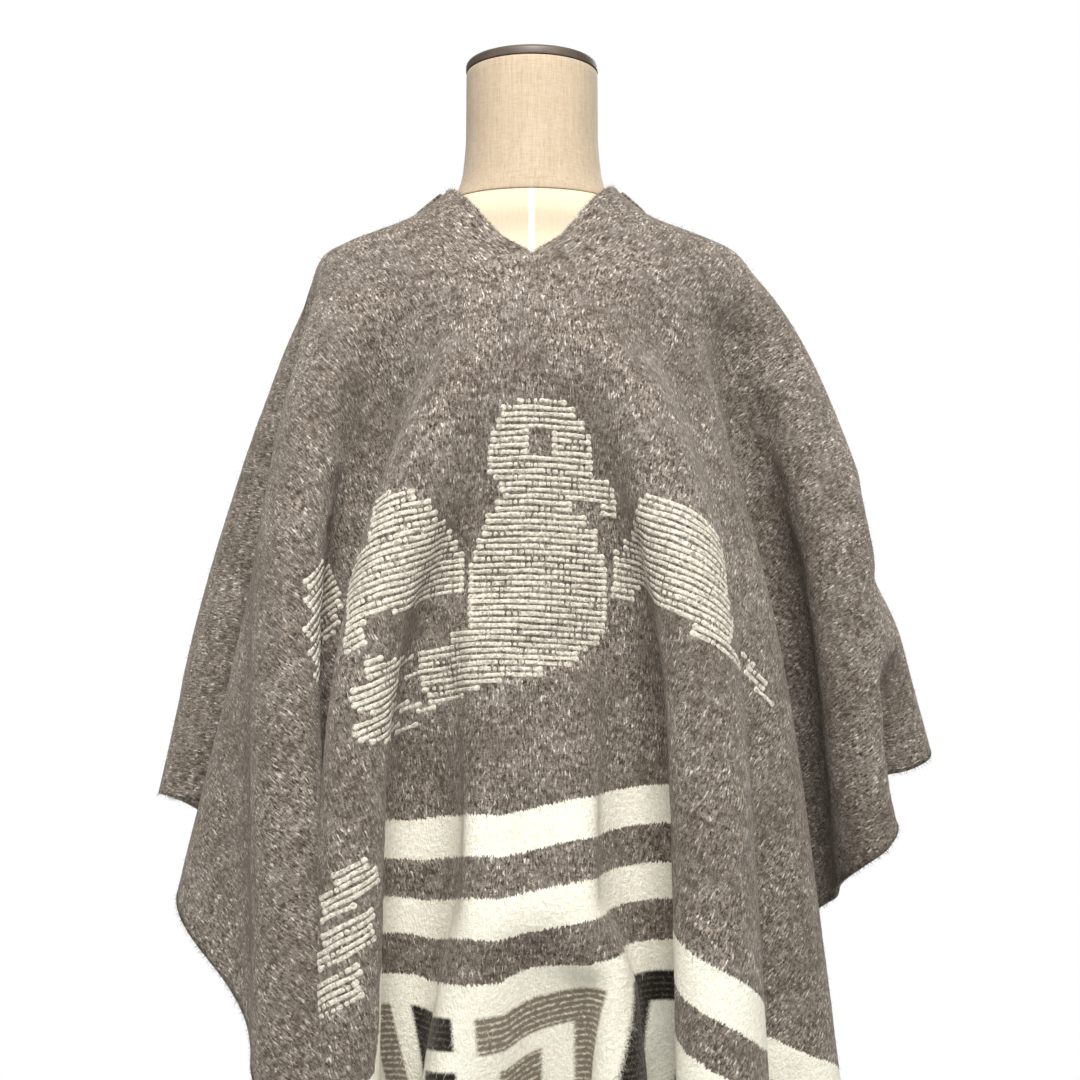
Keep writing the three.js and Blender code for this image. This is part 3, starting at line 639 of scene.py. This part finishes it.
# Pale flecks, brown flecks, pale patches and dark mottling of the ground. Columns: whether it is drawn out
# with the fibres; its noise's scale, detail and roughness; where it begins and is full; its share; colour.
GROUND_MARKS = [
    (True, 520, 1, 0.5, 0.62, 0.68, 0.85, linear(236, 230, 218)),
    (True, 430, 2, 0.6, 0.42, 0.34, 0.80, linear(38, 32, 27)),
    (False, 32, 4, 0.65, 0.48, 0.70, 0.36, linear(164, 157, 150)),
    (False, 95, 4, 0.7, 0.44, 0.64, 0.66, linear(66, 56, 48)),
]


def inside_blocks(finish, blocks, repeat, below):
    """A share of 1 inside any of the fret's blocks."""
    found = 0.0
    for left, right, top, bottom in blocks:
        aside = finish.math("ABSOLUTE", finish.math("SUBTRACT", repeat, (left + right) / 2))
        down = finish.math("ABSOLUTE", finish.math("SUBTRACT", below, (top + bottom) / 2 + FRET_TOP))
        half_width, half_height = (right - left) / 2, (bottom - top) / 2
        in_width = finish.spread(aside, half_width + BLOCK_EDGE_ASIDE, half_width - BLOCK_EDGE_ASIDE)
        in_height = finish.spread(down, half_height + BLOCK_EDGE_DOWN, half_height - BLOCK_EDGE_DOWN)
        found = finish.math("MAXIMUM", found, finish.math("MULTIPLY", in_width, in_height))
    return found


def wool_colour(finish):
    """Heathered felt with its pale stripes and fret: the colour, and the height of its surface."""
    weave = finish.place(uv_map="Weave")
    pattern = finish.split(finish.place(uv_map="Pattern"))
    clumps = finish.noise(weave, 240, 4, 0.75)
    fine = finish.noise(weave, 720, 2, 0.7)
    stretched = finish.drawn_out(weave, FIBRE_DRAWN_OUT)
    fibres = finish.noise(stretched, 620, 3, 0.6)
    broad = finish.noise(weave, 15, 3, 0.6)
    heather = finish.math("ADD", finish.math("MULTIPLY", clumps, 0.38), finish.math("MULTIPLY", fibres, 0.4))
    heather = finish.math("ADD", heather, finish.math("MULTIPLY", fine, 0.22))
    heather = finish.spread(heather, 0.415, 0.60)
    ground = finish.mix(heather, WOOL_DARK, WOOL_LIGHT)
    for with_fibres, scale, detail, roughness, begins, full, share, tint in GROUND_MARKS:
        marks = finish.noise(stretched if with_fibres else weave, scale, detail, roughness)
        ground = finish.mix(finish.spread(marks, begins, full, 0.0, share), ground, tint)
    ground = finish.mix(finish.spread(broad, 0.42, 0.64, 0.0, SHADED_SHARE), ground, WOOL_SHADED)
    cream = finish.mix(heather, CREAM_DARK, CREAM_LIGHT)
    cream = finish.mix(finish.spread(broad, 0.4, 0.75, 0.0, SOILED_SHARE), cream, CREAM_SOILED)
    hairs = finish.drawn_out(weave, HAIR_DRAWN_OUT)
    ragged = finish.math("SUBTRACT", finish.noise(hairs, 700, 3, 0.7), 0.5)
    below = finish.math("ADD", pattern["Y"], finish.math("MULTIPLY", ragged, RAGGED_STRIPE))
    ramp = finish.node("ShaderNodeValToRGB", {"Fac": finish.math("DIVIDE", below, PATTERN_RANGE)})
    ramp.color_ramp.interpolation = "CONSTANT"
    for top, bottom in PALE_BANDS:
        for place, value in ((top + STRIPE_START, 1), (bottom, 0)):
            ramp.color_ramp.elements.new(place / PATTERN_RANGE).color = (value, value, value, 1)
    ramp.color_ramp.elements[0].color = (0, 0, 0, 1)
    ramp.color_ramp.elements[-1].color = (0, 0, 0, 1)
    colour = finish.mix(ramp.outputs["Color"], ground, cream)
    count = finish.math("FLOOR", finish.math("ADD", pattern["X"], 0.5))
    wobble = finish.math("MULTIPLY", finish.math("SUBTRACT", fine, 0.5), BLOCK_WOBBLE)
    repeat = finish.math("ADD", finish.math("SUBTRACT", pattern["X"], count), wobble)
    is_dark = finish.math("PINGPONG", count, 1.0)
    ribs = finish.math("SINE", finish.math("MULTIPLY", pattern["Y"], 2 * math.pi / RIB_PITCH))
    speckle = finish.spread(finish.math("ADD", finish.math("MULTIPLY", ribs, 0.12), clumps), 0.5, 0.78)
    below_even = finish.math("ADD", pattern["Y"], finish.math("MULTIPLY", ragged, RAGGED_BLOCK))
    dark = finish.math("MULTIPLY", inside_blocks(finish, DARK_BLOCKS, repeat, below_even), is_dark)
    light = inside_blocks(finish, LIGHT_BLOCKS, repeat, below_even)
    light = finish.math("MULTIPLY", light, finish.math("SUBTRACT", 1.0, is_dark))
    dark_wool = finish.mix(finish.math("MULTIPLY", speckle, 0.55), BLOCK_BLACK, BLOCK_GREY)
    colour = finish.mix(dark, colour, dark_wool)
    colour = finish.mix(light, colour, finish.mix(speckle, BLOCK_GREY, CREAM_DARK))
    height = finish.math("ADD", clumps, finish.math("MULTIPLY", fibres, 0.6))
    return colour, height


wool = Finish("felted_wool", roughness=0.95, specular=0.12, sheen=0.35, sheen_tint=linear(225, 215, 200))
wool_base, wool_height = wool_colour(wool)
wool.colour(wool_base)
wool.bump(wool_height, 0.0022, 0.9)


# Front and back panel: the two halves of the cloth, each in one with its side of the slit.
# A half panel starts as the flat cloth, is given its maps, and is draped; its wall is 3 mm felt.
WALL, SEAM_GAP = 3, 0.3
FINE = 4
# Two flat places this close, in millimetres, are one.
SAME_PLACE = 0.01
HALF_WIDTH, HALF_LENGTH = (COLUMNS - 1) * THREAD, FRONT_ROWS * THREAD


def set_maps(mesh, flat):
    """Weave and Pattern maps of a bmesh, from its points' flat places in millimetres."""
    weave = mesh.loops.layers.uv.new("Weave")
    pattern = mesh.loops.layers.uv.new("Pattern")
    flat = np.array(flat, float)
    corners = np.array([[loop.vert.index for loop in face.loops] for face in mesh.faces])
    across, along = flat[corners, 0], flat[corners, 1]
    middle = [np.repeat(v.mean(axis=1, keepdims=True), v.shape[1], 1) for v in (across, along)]
    repeat, below = pattern_places(across, along, *middle)
    maps = np.stack([across * MM, along * MM, repeat, below], axis=-1)
    for face, corner_maps in zip(mesh.faces, maps):
        for loop, uv in zip(face.loops, corner_maps):
            loop[weave].uv, loop[pattern].uv = uv[:2], uv[2:]


def give_wall(piece, thickness):
    """A surface becomes felt of a thickness in millimetres, half of it to each side."""
    wall = piece.modifiers.new("felt_wall", "SOLIDIFY")
    wall.thickness = thickness * MM
    wall.offset = 0


def panel(name, toward, node):
    """One half of the cloth, toward -1 down the front and 1 down the back."""
    mesh = bmesh.new()
    length = HALF_LENGTH - SEAM_GAP / 2
    for side in (-1, 1):
        middle = (side * HALF_WIDTH / 2, toward * (HALF_LENGTH + SEAM_GAP / 2) / 2, 0)
        size = Matrix.Translation(middle) @ Matrix.Diagonal((HALF_WIDTH, length, 1, 1))
        bmesh.ops.create_grid(
            mesh, x_segments=(COLUMNS - 1) * FINE, y_segments=FRONT_ROWS * FINE, size=0.5, matrix=size,
        )
    flat = np.array([v.co.xy for v in mesh.verts])
    mesh.verts.index_update()
    half = len(mesh.verts) // 2
    sides = (np.arange(len(flat)) >= half).astype(int)
    set_maps(mesh, flat)
    points = cloth_points(sides, np.abs(flat[:, 0]), flat[:, 1])
    # Outside the slit the two sides' points on the middle line are paired by height and made one.
    sewn = np.abs(flat[:, 0]) < SAME_PLACE
    sewn &= np.abs(flat[:, 1]) > SLIT_ROWS * THREAD - SAME_PLACE
    pairs = np.argsort(np.where(sewn, flat[:, 1], np.inf), kind="stable")[:sewn.sum()].reshape(-1, 2)
    points[pairs] = points[pairs].mean(axis=1, keepdims=True)
    for vert, point in zip(mesh.verts, points):
        vert.co = point
    bmesh.ops.remove_doubles(mesh, verts=mesh.verts, dist=1e-6)
    piece = show(name, mesh, wool, [node])
    give_wall(piece, WALL)


panel("felt_front", -1, "front_panel")
panel("felt_back", 1, "back_panel")


# The bird: cream wool laid in by hand between the ground's threads, in ribs that turn at a stepped edge.
# Each row of the chart is a run of ribs: first and last rib, and its left and right end across the cloth.
BIRD_TOP = 258
BIRD_CHART = [
    (0, 0, -14, 30), (1, 2, -28, 37), (3, 4, -32, 45), (5, 6, -37, -2), (5, 6, 16, 51), (7, 8, -39, -2),
    (7, 8, 16, 52), (9, 11, -39, 53), (12, 12, -34, 69), (13, 14, -29, 74), (15, 15, -25, 76),
    (16, 17, -32, 35), (16, 17, 59, 75), (18, 19, -40, 48), (20, 21, -43, 58), (22, 23, -48, 58),
    (24, 25, -51, 64), (26, 30, -55, 66), (31, 34, -55, 67), (35, 36, -54, 66), (37, 38, -72, 62),
    (39, 39, -102, 52), (40, 41, -104, 43), (42, 42, -122, 36), (43, 44, -104, 10), (45, 45, -104, -24),
    (46, 46, -100, -42), (47, 47, -100, -58),
    (12, 12, 118, 200), (13, 14, 112, 208), (15, 16, 108, 212), (17, 18, 100, 214), (19, 20, 92, 216),
    (21, 22, 80, 222), (23, 26, 70, 230), (27, 27, 70, 228), (28, 28, 70, 100), (28, 29, 190, 250),
    (29, 30, 68, 92), (18, 18, 304, 326), (19, 20, 316, 346), (21, 21, 334, 362),
    (11, 11, -148, -128), (12, 13, -152, -110), (14, 15, -154, -98), (16, 17, -158, -92),
    (18, 18, -176, -80), (19, 19, -186, -78), (20, 21, -190, -70), (22, 23, -190, -63), (24, 27, -191, -57),
    (28, 28, -193, -57), (29, 29, -195, -172), (29, 29, -152, -57), (30, 32, -199, -176), (30, 30, -118, -57),
    (1, 2, -330, -296), (3, 5, -341, -283), (6, 8, -359, -264), (9, 11, -369, -264), (12, 13, -378, -268),
    (14, 15, -350, -276), (16, 16, -300, -284),
    (35, 35, -186, -168), (36, 36, -188, -155), (37, 37, -188, -140), (38, 38, -203, -125),
    (39, 39, -206, -108), (40, 40, -206, -150), (41, 41, -203, -135), (42, 42, -195, -150),
    (43, 43, -212, -160), (44, 44, -214, -150), (45, 45, -212, -135), (46, 46, -204, -116),
    (47, 47, -190, -150), (47, 47, -130, -104), (48, 48, -175, -140), (48, 48, -112, -92),
    (49, 49, -155, -128), (50, 50, -138, -110),
    (61, 62, -272, -240), (63, 65, -290, -234), (66, 66, -296, -262), (68, 69, -300, -250),
    (70, 72, -312, -256), (74, 75, -322, -278), (76, 78, -336, -284),
]
RIB_WIDTH, RIB_HEIGHT, RIB_ROOT = 4.5, 1.1, 0.4
RIB_STEP, RIB_LEAST_STEPS, RIB_TURNS = 1.2, 6, 6
# The rib swells in beads between the threads. A share of the beads has sunk, and each end is a fuller loop.
BEAD, BEAD_DEPTH, BEADS_SUNK = 5.6, 0.36, 0.16
SUNK_TO, SUNK_SLOPE = 0.2, 0.45
SCATTER = (12.99, 78.23, 437.6)
LOOP = {"length": 5, "middle": 2.2, "spread": 2.0, "swell": 0.45}
YARN_SHADE, YARN_LIGHT = linear(160, 149, 131), linear(248, 242, 226)
YARN_THIN, THIN_SHARE = linear(112, 99, 86), 0.7

yarn = Finish("cream_yarn", roughness=0.9, specular=0.15, sheen=0.3, sheen_tint=linear(255, 250, 235))
yarn_place = yarn.place(uv_map="Weave")
yarn_tone = yarn.noise(yarn_place, 380, 4, 0.7)
yarn_fine = yarn.noise(yarn_place, 1500, 2, 0.6)
yarn_cream = yarn.mix(yarn.spread(yarn_tone, 0.32, 0.62), YARN_SHADE, YARN_LIGHT)
yarn_thin = yarn.spread(yarn.noise(yarn_place, 230, 4, 0.7), 0.50, 0.64, 0.0, THIN_SHARE)
yarn.colour(yarn.mix(yarn_thin, yarn_cream, YARN_THIN))
yarn.bump(yarn.math("ADD", yarn_tone, yarn_fine), 0.0009, 0.8)


def rib(mesh, weave, index, left, right):
    """One rib: a strip of the cloth's surface, arched across and pinched at every thread it passes."""
    along = -(BIRD_TOP + index * RIB_PITCH / MM)
    count = max(int((right - left) / RIB_STEP), RIB_LEAST_STEPS)
    made = bmesh.ops.create_grid(mesh, x_segments=count, y_segments=RIB_TURNS, size=0.5)["verts"]
    places = np.array([v.co.xy for v in made]) + 0.5
    across = left + (right - left) * places[:, 0]

    def sway(pace, turn):
        return np.sin(across * pace + index * turn)

    to_end = np.minimum(across - left, right - across)
    in_loop = to_end < LOOP["length"]
    round_end = np.sqrt(np.clip(1 - (1 - np.minimum(to_end / RIB_WIDTH, 1)) ** 2, 0, 1))
    swell = 1 + LOOP["swell"] * np.exp(-(((to_end - LOOP["middle"]) / LOOP["spread"]) ** 2))
    beads = across / BEAD
    # A number without order for every bead picks the sunk ones, the same ones on each run.
    scatter = np.sin(np.floor(beads) * SCATTER[0] + index * SCATTER[1]) * SCATTER[2]
    sunk = scatter - np.floor(scatter) < BEADS_SUNK
    pinch = 1 - BEAD_DEPTH / 2 * (1 + np.cos(2 * math.pi * beads))
    pinch *= np.where(sunk, np.clip(np.abs(beads - np.round(beads)) / SUNK_SLOPE, SUNK_TO, 1), 1)
    pinch = np.where(in_loop, 1, pinch)
    thin = np.where(in_loop, 1, 0.92 + 0.1 * sway(0.11, 2.1) * sway(0.043, 1))
    half = RIB_WIDTH / 2 * round_end * (0.75 + 0.25 * pinch) * thin * swell
    turn = places[:, 1] * math.pi
    lie = along + 0.25 * sway(0.19, 1.7) + 0.2 * sway(0.067, 2.9) - np.cos(turn) * half
    lift = WALL / 2 - RIB_ROOT + RIB_HEIGHT * np.sin(turn) * round_end * pinch * swell
    sides, away = (across >= 0).astype(int), np.abs(across)
    points = cloth_points(sides, away, lie) + cloth_normals(sides, away, lie) * (lift * MM)[:, None]
    for vert, point in zip(made, points):
        vert.co = point
    flat = {v: (a * MM, l * MM) for v, a, l in zip(made, across, lie)}
    for face in {f for v in made for f in v.link_faces}:
        for loop in face.loops:
            loop[weave].uv = flat[loop.vert]


bird_mesh = bmesh.new()
bird_weave = bird_mesh.loops.layers.uv.new("Weave")
for first, last, left, right in BIRD_CHART:
    for index in range(first, last + 1):
        rib(bird_mesh, bird_weave, index, left, right)
show("bird_ribs", bird_mesh, yarn)


# The hood lies down the back as an emptied bag of the same felt, open round the neck.
# Its inner layer lies on the back panel and its outer layer stands off it; both meet at the fold.
HOOD_WALL, HOOD_EDGE_IN, HOOD_FULLNESS = 2.6, 4, 2.2
HOOD_BACKWARD = np.array([0, 0.96, 0.28])
HOOD_SIDE_STEPS, HOOD_STEP = 22, 7
HOOD_NORMAL_STEP, HOOD_MERGE, HOOD_SMOOTHING = 12.0, 0.0004, 0.5
HOOD_MAP_START, HOOD_MAP_SCALE = 60.0, 0.9
# Columns in millimetres: place down the back, half width, inner layer's distance off the panel, its distance
# to the outer one in the middle, the outer one's rise; last, how much both turn straight backward.
HOOD_COLUMNS = ("along", "half", "off", "open", "lift", "even")
HOOD_SHAPE = np.array([
    (12, 36, 6, 4, 0, 0), (34, 60, 6, 13, 2, 0), (72, 84, 6, 24, 3, 0),
    (130, 102, 6.5, 33, 2, 0.5), (160, 106, 10, 34, 0, 1), (200, 102, 14, 33, 0, 2),
    (240, 88, 17, 28, 0, 3), (272, 68, 19, 24, 0, 3), (296, 46, 19, 20, 0, 3),
    (310, 24, 19, 0, 0, 3),
], float)


def hood_layer(mesh, side, is_outer):
    """Half of one layer: a grid from the middle to the side fold, laid along the back panel."""
    rows = int((HOOD_SHAPE[-1, 0] - HOOD_SHAPE[0, 0]) / HOOD_STEP)
    made = bmesh.ops.create_grid(mesh, x_segments=HOOD_SIDE_STEPS, y_segments=rows, size=0.5)["verts"]
    places = np.array([v.co.xy for v in made]) + 0.5
    shares = places[:, 0] if side > 0 else 1 - places[:, 0]
    along = HOOD_SHAPE[0, 0] + (HOOD_SHAPE[-1, 0] - HOOD_SHAPE[0, 0]) * places[:, 1]
    row = {name: np.interp(along, HOOD_SHAPE[:, 0], HOOD_SHAPE[:, k]) for k, name in enumerate(HOOD_COLUMNS)}
    start = np.where(along < SLIT_ROWS * THREAD - SAME_PLACE, HOOD_EDGE_IN, 0)
    across = np.maximum(start + (row["half"] - start) * shares, 0)
    sides = np.full(len(across), int(side > 0))
    normal = cloth_normals(sides, across, along, HOOD_NORMAL_STEP) + HOOD_BACKWARD * row["even"][:, None]
    normal /= np.linalg.norm(normal, axis=1, keepdims=True)
    bulge = np.sqrt(np.maximum(1 - shares**HOOD_FULLNESS, 0)) if is_outer else np.zeros(len(shares))
    points = cloth_points(sides, across, along) + normal * ((row["off"] + row["open"] * bulge) * MM)[:, None]
    points[:, 2] += row["lift"] * bulge * MM
    for vert, point in zip(made, points):
        vert.co = point
    return {v: (side * a, l) for v, a, l in zip(made, across, along)}


hood_mesh = bmesh.new()
hood_flat = {}
for is_outer in (False, True):
    for side in (-1, 1):
        hood_flat.update(hood_layer(hood_mesh, side, is_outer))
hood_mesh.verts.index_update()
hood_places = [hood_flat[v] for v in hood_mesh.verts]
set_maps(hood_mesh, [(across, HOOD_MAP_START + HOOD_MAP_SCALE * along) for across, along in hood_places])
bmesh.ops.remove_doubles(hood_mesh, verts=hood_mesh.verts, dist=HOOD_MERGE)
bmesh.ops.recalc_face_normals(hood_mesh, faces=hood_mesh.faces)
bmesh.ops.smooth_vert(
    hood_mesh, verts=hood_mesh.verts, factor=HOOD_SMOOTHING,
    use_axis_x=True, use_axis_y=True, use_axis_z=True,
)
hood = show("felt_hood", hood_mesh, wool, ["hood"])
give_wall(hood, HOOD_WALL)


# The nap: loose wool ends combed down over the felt and standing off its raw edges.
# Each is a thin tapering blade of three faces that keeps the colour of the place it grows from.
NAP_SEED = 7
NAP_ON_FACE, NAP_ON_EDGE = 52000, 6000
NAP_WIDTH, NAP_TAPER, NAP_ROOT = 0.30, 0.7, 0.3
FACE_LENGTHS, EDGE_LENGTHS, SLIT_SHORTER = (4, 12), (2, 6), 0.5
FACE_TURN, EDGE_TURN, SLIT_TURN = 0.8, 0.5, 0.4
NAP_MARGIN, EDGE_INSET, SLIT_INSET = 2, 0.5, 0.4
LIFT_SHAPE, LIFT_SCALE = 2.0, 0.6
NAP_PALE, NAP_PALE_SHARE = linear(226, 218, 204), 0.18
# Columns: how far along the blade, and the share of its lift there.
NAP_CURVE = [(0, 0), (0.5, 0.7), (1, 1)]

nap_finish = Finish("wool_nap", roughness=0.95, specular=0.1, sheen=0.2)
nap_base, _ = wool_colour(nap_finish)
nap_finish.colour(nap_finish.mix(NAP_PALE_SHARE, nap_base, NAP_PALE))


def nap(name, toward, seed):
    """Blades over one panel: root, middle and tip follow the cloth's surface, lifted off it."""
    draw = np.random.default_rng(seed)
    total = NAP_ON_FACE + NAP_ON_EDGE
    across = draw.uniform(-HALF_WIDTH + NAP_MARGIN, HALF_WIDTH - NAP_MARGIN, total)
    down = draw.uniform(NAP_MARGIN, HALF_LENGTH - NAP_MARGIN, total)
    turn = draw.normal(0, FACE_TURN, total)
    edge = np.arange(total) >= NAP_ON_FACE
    length = np.where(edge, draw.uniform(*EDGE_LENGTHS, total), draw.uniform(*FACE_LENGTHS, total))
    lift = draw.gamma(LIFT_SHAPE, LIFT_SCALE, total)
    kind = draw.integers(0, 4, total)
    hem, right, left, slit = (edge & (kind == k) for k in range(4))
    down[hem] = HALF_LENGTH - EDGE_INSET
    turn[hem] = draw.normal(0, EDGE_TURN, hem.sum())
    across[right], across[left] = HALF_WIDTH - EDGE_INSET, -HALF_WIDTH + EDGE_INSET
    turn[right] = draw.normal(math.pi / 2, EDGE_TURN, right.sum())
    turn[left] = draw.normal(-math.pi / 2, EDGE_TURN, left.sum())
    slit_side = np.where(draw.uniform(size=slit.sum()) < 0.5, -1, 1)
    across[slit] = slit_side * SLIT_INSET
    down[slit] = draw.uniform(NAP_MARGIN, SLIT_ROWS * THREAD, slit.sum())
    turn[slit] = -slit_side * draw.normal(math.pi / 2, SLIT_TURN, slit.sum())
    length[slit] *= SLIT_SHORTER
    sides = (across >= 0).astype(int)
    away = np.abs(across)
    sign = np.where(sides == 0, -1, 1)
    step_across, step_down = np.sin(turn) * sign, np.cos(turn)
    rows = []
    for share, height in NAP_CURVE:
        place = (sides, away + step_across * length * share, toward * (down + step_down * length * share))
        off = (WALL / 2 - NAP_ROOT + lift * height) * MM
        rows.append(cloth_points(*place) + cloth_normals(*place) * off[:, None])
    root, middle, tip = rows
    lie = np.cross(tip - root, cloth_normals(sides, away, toward * down))
    lie *= NAP_WIDTH / 2 * MM / (np.linalg.norm(lie, axis=1, keepdims=True) + 1e-12)
    points = np.stack([root - lie, root + lie, middle + lie * NAP_TAPER, middle - lie * NAP_TAPER, tip], 1)
    data = bpy.data.meshes.new(name)
    start = np.arange(total)[:, None] * 5
    faces = (start + np.array([0, 1, 2, 0, 2, 3, 3, 2, 4])).reshape(-1, 3)
    data.vertices.add(total * 5)
    data.vertices.foreach_set("co", points.reshape(-1))
    data.loops.add(faces.size)
    data.loops.foreach_set("vertex_index", faces.reshape(-1).astype(np.int32))
    data.polygons.add(len(faces))
    data.polygons.foreach_set("loop_start", np.arange(0, faces.size, 3, dtype=np.int32))
    places = {"Weave": np.stack([across * MM, toward * down * MM], 1)}
    places["Pattern"] = np.stack(pattern_places(across, toward * down), 1)
    for map_name, flat in places.items():
        layer = data.uv_layers.new(name=map_name)
        layer.data.foreach_set("uv", np.repeat(flat, 9, axis=0).reshape(-1))
    data.update(calc_edges=True)
    data.materials.append(nap_finish.material)
    piece = bpy.data.objects.new(name, data)
    bpy.context.scene.collection.objects.link(piece)
    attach(piece, "root")


nap("front_nap", -1, NAP_SEED)
nap("back_nap", 1, NAP_SEED + 1)


# The place it is shown in: a pale floor, a white surround, and soft light from above the front.
# Two weak lamps fill the sides, and one lights the back.
FLOOR_RADIUS, FLOOR_DROP, FLOOR_COLOUR = 1.5, 0.0005, (0.93, 0.93, 0.92)
SURROUND_SEEN, SURROUND_LIGHT = 1.0, 0.26
# Columns: name, place, aim, width, power.
LAMPS = [
    ("key_lamp", (0.1, -1.8, 3.0), (0, 0, 1.05), 0.9, 104),
    ("left_lamp", (-2.6, -0.8, 1.5), (0, 0, 1.0), 1.4, 7),
    ("right_lamp", (2.6, -0.8, 1.5), (0, 0, 1.0), 1.4, 8),
    ("back_lamp", (1.2, 2.6, 2.6), (0, 0, 1.0), 1.6, 46),
]

floor_finish = Finish("pale_floor", roughness=0.9, specular=0.1)
floor_finish.colour(FLOOR_COLOUR)
floor_mesh = bmesh.new()
bmesh.ops.create_circle(floor_mesh, cap_ends=True, segments=128, radius=FLOOR_RADIUS)
floor_data = bpy.data.meshes.new("floor")
floor_mesh.to_mesh(floor_data)
floor_mesh.free()
floor_data.materials.append(floor_finish.material)
floor = bpy.data.objects.new("floor", floor_data)
floor.location = (0, 0, -FLOOR_DROP)
bpy.context.scene.collection.objects.link(floor)

surround = bpy.data.worlds.new("white_surround")
surround.use_nodes = True
bpy.context.scene.world = surround
tree = surround.node_tree
sky = tree.nodes["Background"]
sky.inputs["Color"].default_value = (1, 1, 1, 1)
is_seen = tree.nodes.new("ShaderNodeLightPath").outputs["Is Camera Ray"]
level = tree.nodes.new("ShaderNodeMapRange")
level.inputs["To Min"].default_value = SURROUND_LIGHT
level.inputs["To Max"].default_value = SURROUND_SEEN
tree.links.new(is_seen, level.inputs["Value"])
tree.links.new(level.outputs["Result"], sky.inputs["Strength"])
bpy.context.scene.view_settings.view_transform = "Standard"

for lamp_name, lamp_place, aim, width, power in LAMPS:
    light = bpy.data.lights.new(lamp_name, "AREA")
    light.energy = power
    light.size = width
    lamp = bpy.data.objects.new(lamp_name, light)
    lamp.location = lamp_place
    lamp.rotation_euler = (Vector(aim) - Vector(lamp_place)).to_track_quat("-Z", "Y").to_euler()
    bpy.context.scene.collection.objects.link(lamp)
